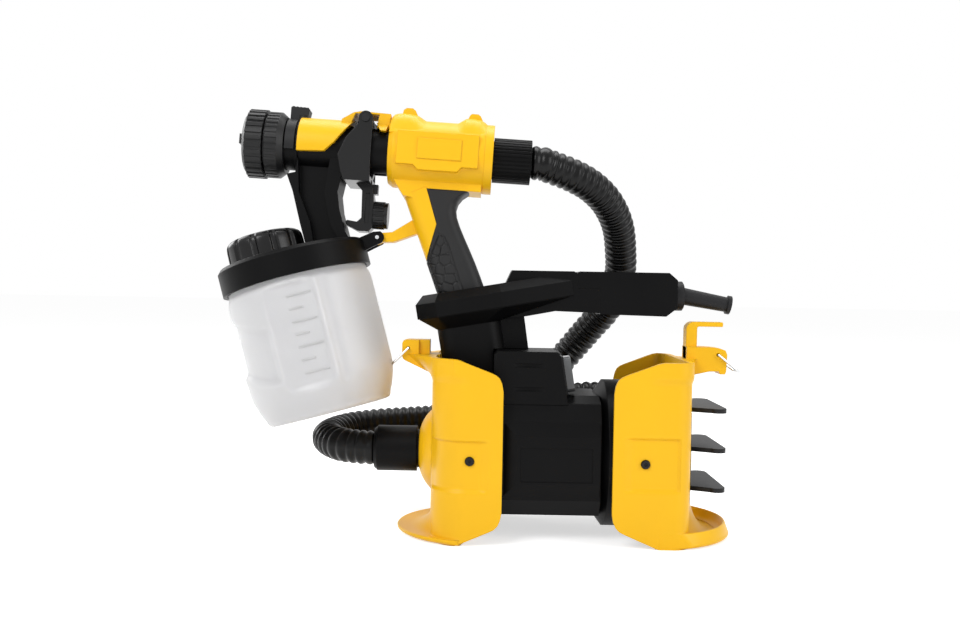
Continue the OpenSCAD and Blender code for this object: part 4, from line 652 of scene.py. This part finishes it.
def make_grip():
    rows = np.concatenate([np.arange(-1.0, -38, -0.75), np.arange(-38, -124.6, -0.55)])
    cols = SLEEVE_COLUMNS
    seeds = tile_seeds()
    rake = math.radians(-GRIP_RAKE)
    from_edge = np.minimum(np.arange(cols), np.arange(cols)[::-1])
    verts = []
    for z in rows:
        ring, total = grip_ring(along(REAR_EDGE, z))
        border = along(BORDER, z)
        # the columns run from the border on one side round the back to the other
        half = RING_CUTS // 2 + 1
        first = int(np.argmax(ring[:half, 0] >= border)) if border > GRIP_FRONT + 0.05 else 0
        s0 = first / RING_CUTS
        s = s0 + (1 - 2 * s0) * np.linspace(0, 1, cols)
        x, y = [np.interp(s * RING_CUTS, np.arange(RING_CUTS + 1), ring[:, k]) for k in (0, 1)]
        # tucked in where it goes under the rear housing
        under = GRIP_TOP + math.sin(rake) * x + math.cos(rake) * z
        y = y * (1 - 0.11 * ease(-30.3, -29.4, under))
        tx, ty = np.gradient(x), np.gradient(y)
        norm = np.hypot(tx, ty) + 1e-9
        arc = np.where(s < 0.5, s, s - 1) * total
        inside = np.minimum(along(FIELD_REAR, z) - x, x - along(FIELD_FRONT, z))
        d = np.stack([np.hypot(arc - p, z - q) for p, q in seeds], 0)
        d.sort(axis=0)
        tile = ease(0.4, 1.1, d[1] - d[0]) * ease(0.35, 1.2, inside)
        push = TILE_UP * tile - CRACK_DEEP * (1 - tile) * ease(0.2, 0.9, inside)
        if z < FIELD_TOP:
            push = push - RIM_DEEP * bell(inside + 0.1, 0.75)
        if first:
            push = push - 0.5 * ease(1.1, 0.0, from_edge * total / cols)
        x = x + ty / norm * push
        y = y - tx / norm * push
        verts.append(np.stack([x, y, np.full(cols, z)], 1))
    outer = np.concatenate(verts)
    inner = outer.copy()
    reach = np.linalg.norm(inner[:, :2], axis=1)[:, None] + 1e-6
    inner[:, :2] -= inner[:, :2] / reach * SLEEVE_WALL
    o = piece("grip_rubber_sleeve", placed(np.concatenate([outer, inner]), GRIP),
              two_skins(len(rows), cols), RUBBER, "gun")
    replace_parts(o, "grip_sleeve")


make_grip()

# ---------- gun shoulders ----------
SHOULDER_R = 28.3
SHOULDER_DEEP = 2.0
# place along the gun and rise over its rear housing
SHOULDERS = [
    (121.6, 0.2), (122.6, 2.4), (124.2, 3.9), (127, 4.8), (131, 5.3), (138, 5.2), (143.5, 4.0),
    (147, 2.0), (150, 0.2), (153, -0.8), (174, -0.8), (177.5, 0.2), (180.5, 2.2), (183.8, 4.3),
    (190, 4.8), (196, 4.0), (199.5, 2.2), (202, 0.2),
]


def make_shoulders():
    """Swellings of the gun's rear shell from which its two bumps rise."""
    xs = np.linspace(SHOULDERS[0][0], SHOULDERS[-1][0], 162)
    angles = np.radians(np.linspace(-62, 62, 95))
    spread = ease(math.radians(60), math.radians(20), np.abs(angles))
    outer = [SHOULDER_R + (along(SHOULDERS, x) + 0.2) * spread for x in xs]
    inner = [np.full(len(angles), SHOULDER_R - SHOULDER_DEEP) for x in xs]
    verts = np.concatenate([
        np.stack([np.full(len(angles), x), r * np.sin(angles), r * np.cos(angles)], 1)
        for skin in (outer, inner) for x, r in zip(xs, skin)])
    o = piece("gun_shoulders", placed(verts, GUN), two_skins(len(xs), len(angles)), YELLOW,
              "gun")
    outward(o.data)


make_shoulders()

# ---------- bumpers ----------
# A bumper's shell is drawn with X running out of the base from its end wall's inner face.
WALL = 3.0
BUMPER_HALF = 64.5     # half width over the front and rear plates
BUMPER_TOP = 147
AXIS_Z = 67.0          # height of the motor's axis
FOOT_R = 70.0
FOOT_CUT = 64.4        # half width at which a foot or rim is cut flat
RIMMED_FOOT_CUT = 62.5
BAND_DEEP = 2.0
PAD_UP = 1.5
SCREW_SEAT_R = 3.7
LEVELS = np.concatenate([
    np.arange(0, 36, 3.0), np.arange(36, 50, 0.8), np.arange(50, 78, 3.0), np.arange(78, 92, 0.8),
    np.arange(92, 120, 3.0), np.arange(120, BUMPER_TOP, 1.1), [BUMPER_TOP]])
# way in from a plate's upright edge, and the heights of its slanted lower and upper corner
LOW_EDGE = [(0, 27), (1, 21), (3, 16.5), (6, 13.5), (10, 11.5), (37, 0)]
HIGH_EDGE = [(0, 122), (1, 128), (3, 132.5), (6, 135), (10, 136.8), (35, 146.2), (39, 147)]


def shell_outline(length, corner, rear_length):
    """Plan of a bumper from its front edge round the end to its rear edge: places and directions."""
    r = corner + WALL
    middle = WALL - r
    side = BUMPER_HALF - r
    spots = [(x, -BUMPER_HALF, 0, -1) for x in np.linspace(-length, middle, 48)[:-1]]
    for turn, y in ((-90, -side), (0, side)):
        for a in np.radians(np.linspace(turn, turn + 90, 22)[:-1]):
            c, s = math.cos(a), math.sin(a)
            spots.append((middle + r * c, y + r * s, c, s))
        if turn < 0:
            spots += [(WALL, y, 1, 0) for y in np.linspace(-side, side, 50)[:-1]]
    spots += [(x, BUMPER_HALF, 0, 1) for x in np.linspace(middle, -rear_length, 48)]
    return np.array(spots, float)


def shell_grid(length, corner, rear_length, relief):
    """Outer and inner skins of a bumper's wall, with the corners of its plates cut."""
    plan = shell_outline(length, corner, rear_length)
    reach = plan[:, 0] + np.where(plan[:, 1] > 0, rear_length, length)
    low, high = along(LOW_EDGE, reach), along(HIGH_EDGE, reach)
    z = low + np.outer(LEVELS / BUMPER_TOP, high - low)
    out = relief(plan[:, 0], plan[:, 1], z)
    skins = []
    for push in (out, np.full_like(out, -WALL)):
        x = plan[:, 0] + plan[:, 2] * push
        y = plan[:, 1] + plan[:, 3] * push
        skins.append(np.stack([x, y, z], 2).reshape(-1, 3))
    return np.concatenate(skins), two_skins(*z.shape)


def band(x, z, low, high, inner, outer):
    """How far a spot lies in the recess that runs across a bumper: 0 to 1."""
    rows = ease(low - 1.8, low + 1.4, z) * ease(high + 0.9, high - 0.9, z)
    return rows * (ease(inner - 3, inner + 7, x) * ease(outer[1], outer[0], x))[None, :]


def gusset(x, y, z, arm, low):
    """How far the wall leans out at its top, to a straight line from the arm to the front plate."""
    plate = (-16.0, BUMPER_HALF)
    corner_from = 35
    across = np.array([plate[1] - arm[1], arm[0] - plate[0]])
    wide = np.abs(y)
    face = np.stack([np.clip(x - plate[0], 0, None), np.clip(wide - corner_from, 0, None)])
    face = face / (np.hypot(*face) + 1e-6)
    on_end = x > WALL - 0.01
    face = np.where(on_end, [[1], [0]], face)
    left = (arm[0] - x) * across[0] + (arm[1] - wide) * across[1]
    need = left / (face[0] * across[0] + face[1] * across[1] + 1e-6)
    need = np.where(x > plate[0], np.clip(need, 0, arm[0] - WALL), 0)
    return need[None, :] * np.clip((z - low) / (BUMPER_TOP - low), 0, 1)


def left_relief(x, y, z):
    """The dome round the hose's socket, the band, the thicker top and the gusset."""
    from_hose = np.hypot(y[None, :], z - AXIS_Z)
    on_end = ease(WALL - 0.4, WALL, x)[None, :]
    dome = 13.0 * (1 - np.minimum(from_hose / 34.0, 1) ** 2.6) ** 0.85 * on_end
    sunk = band(x, z, 43.5, 82.5, -42.5, (9, 10)) * ease(34, 44, np.abs(y))[None, :]
    pad = PAD_UP * ease(127.5, 134, z) * ease(-30, -16, x)[None, :]
    return dome - BAND_DEEP * sunk + pad + gusset(x, y, z, (24.0, 9.0), 130)


def right_relief(x, y, z):
    """The band, the thicker top and the gusset."""
    sunk = band(x, z, 46, 87, -50, (-8.6, -6.8))
    pad = PAD_UP * ease(129, 135, z) * ease(-34, -20, x)[None, :]
    return pad - BAND_DEEP * sunk + gusset(x, y, z, (14.0, 9.0), 133)


def turned(profile, half_angle, steps, clip):
    """A closed section turned about the upright axis to either side, and cut flat at Y of clip."""
    p = np.array(profile, float)
    rings = []
    for a in np.radians(np.linspace(-half_angle, half_angle, steps + 1)):
        y = np.clip(p[:, 0] * math.sin(a), -clip, clip)
        rings.append(np.stack([p[:, 0] * math.cos(a), y, p[:, 1]], 1))
    n = len(p)
    faces = turned_over(grid_faces(steps + 1, n))
    faces.append(tuple(range(n)))
    faces.append(tuple(steps * n + k for k in range(n - 1, -1, -1)))
    return np.concatenate(rings), faces


def foot_section():
    """From the foot's middle: the flat lip, and the sweep up to the end wall."""
    r = FOOT_R
    outer = curve_through([
        (r - 8, 0), (r - 3, 0.8), (r, 2.6), (r + 0.3, 4.2), (r - 1, 5), (r - 6, 4.6),
        (r - 13, 4.4), (r - 19, 6.4), (r - 25, 11), (r - 29, 18), (r - 31.5, 27), (r - 32.5, 38)],
        60)
    return [(0.5, 0)] + [tuple(p) for p in outer] + [(r - 36, 38), (r - 36, 3), (0.5, 3)]


def rim_section():
    """The rim that stands round the right foot and makes a trough of it."""
    r = FOOT_R
    return [
        (r - 6, 1.2), (r - 1, 1.5), (r + 0.2, 2.8), (r - 0.5, 6), (r - 2.4, 11.4),
        (r - 3.2, 12.8), (r - 4.2, 13), (r - 5, 12.2), (r - 6.4, 8.4), (r - 8.6, 6),
        (r - 11, 4.8), (r - 10, 3)]


def bored(name, part, bores):
    """A closed mesh with round holes along Y cut through it."""
    mesh = new_mesh(name, *part)
    outward(mesh)
    work = bpy.data.objects.new(name, mesh)
    bpy.context.scene.collection.objects.link(work)
    for x, z, r, y0, y1 in bores:
        turns = np.linspace(0, FULL_TURN, 33)[:-1]
        circle = [(x + r * math.cos(a), z + r * math.sin(a)) for a in turns]
        cutter_mesh = new_mesh("cutter", *prism(circle, y0, y1))
        outward(cutter_mesh)
        cutter = bpy.data.objects.new("cutter", cutter_mesh)
        bpy.context.scene.collection.objects.link(cutter)
        step = work.modifiers.new("bore", "BOOLEAN")
        step.operation = "DIFFERENCE"
        step.solver = "EXACT"
        step.object = cutter
        bpy.context.view_layer.update()
        cut = work.evaluated_get(bpy.context.evaluated_depsgraph_get())
        result = bpy.data.meshes.new_from_object(cut)
        work.modifiers.clear()
        work.data = result
        bpy.data.objects.remove(cutter)
        bpy.data.meshes.remove(cutter_mesh)
    verts = np.array([v.co for v in work.data.vertices])
    faces = [tuple(f.vertices) for f in work.data.polygons]
    bpy.data.objects.remove(work)
    return verts, faces


def make_bumper(name, node, side, wall_x, plan, relief, foot_x, turn, screw_x, arms, bore, rim):
    """A bumper: its shell, foot and rim drawn outwards and turned to its side, and its arms."""
    def place(part, x):
        v, f = part
        return v * np.array([side, 1, 1]) + np.array([x, 0, 0]), f

    shell = place(shell_grid(*plan, relief), wall_x)
    seats = [(screw_x, AXIS_Z, SCREW_SEAT_R, y, y + 30) for y in (-80, 50)]
    foot = turned(foot_section(), turn, 72, RIMMED_FOOT_CUT if rim else FOOT_CUT)
    parts = [bored(name, shell, seats)]
    parts += [bored(name, arm, [bore]) for arm in arms]
    parts.append(place(foot, foot_x))
    if rim:
        parts.append(place(turned(rim_section(), 88, 70, FOOT_CUT), foot_x))
    v, f = joined(parts)
    o = piece(name, (v + np.array([BASE_X, 0, 0])) * MM, f, YELLOW)
    outward(o.data)
    o.data.polygons.foreach_set("use_smooth", [True] * len(o.data.polygons))
    o.data.set_sharp_from_angle(angle=math.radians(38))
    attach(o, "base")
    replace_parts(o, node)


def make_left_bumper():
    """Its arm has a front plate and, set back from it, a wider rest."""
    end = -104.3
    arm_top = 159
    lower = [
        (end + 2, 128), (-131.6, 141.8), (-133.2, 143), (-134, 145.5), (-134, 156), (-133, 158.2),
        (-130, arm_top)]

    def layer(to_x, y0, y1):
        ledge = BUMPER_TOP + 0.2
        outline = lower + [(to_x, arm_top), (to_x, ledge), (end + 2, BUMPER_TOP)]
        return prism(outline, y0, y1)

    make_bumper(
        "left_bumper_shell", "left_bumper", side=-1, wall_x=end, plan=(54, 26, 54),
        relief=left_relief, foot_x=-66, turn=75, screw_x=-76,
        arms=[layer(-111, -7, 10), layer(-120, -10, -6.99)],
        bore=(-128.9, 152, 1.4, -20, 20), rim=False)


def make_right_bumper():
    """Its arm carries the hook for the cord."""
    end = 96.3
    x, z = 136.4, 157.0
    post = 102.6
    under_top = BUMPER_TOP - 0.1
    arm = [
        (end, 131), (x - 15, z - 20.3), (x - 7, z - 20), (x - 5.5, z - 22.4), (x - 1.5, z - 22.4),
        (x - 0.6, z - 20), (x, z - 6), (x - 1.5, z - 2.5), (x - 7, z - 0.6), (x - 16, z),
        (post, z), (post, under_top), (end + 1, under_top), (end, 139)]
    hook = [
        (post, 142), (post, 171.8), (103, 174), (104.1, 175.6), (105.6, 177), (107.6, 177.8),
        (132.4, 177.8), (133.1, 177.2), (133.1, 174.5), (132.4, 173.9), (113, 173.9),
        (112, 173.5), (111.6, 172.5), (111.6, 142)]
    make_bumper(
        "right_bumper_shell", "right_bumper", side=1, wall_x=end, plan=(60, 11, 45),
        relief=right_relief, foot_x=71, turn=90, screw_x=62,
        arms=[prism(arm, -10, 10), prism(hook, -6.5, 6.5)],
        bore=(128.9, 150.7, 1.4, -20, 20), rim=True)


make_left_bumper()
make_right_bumper()
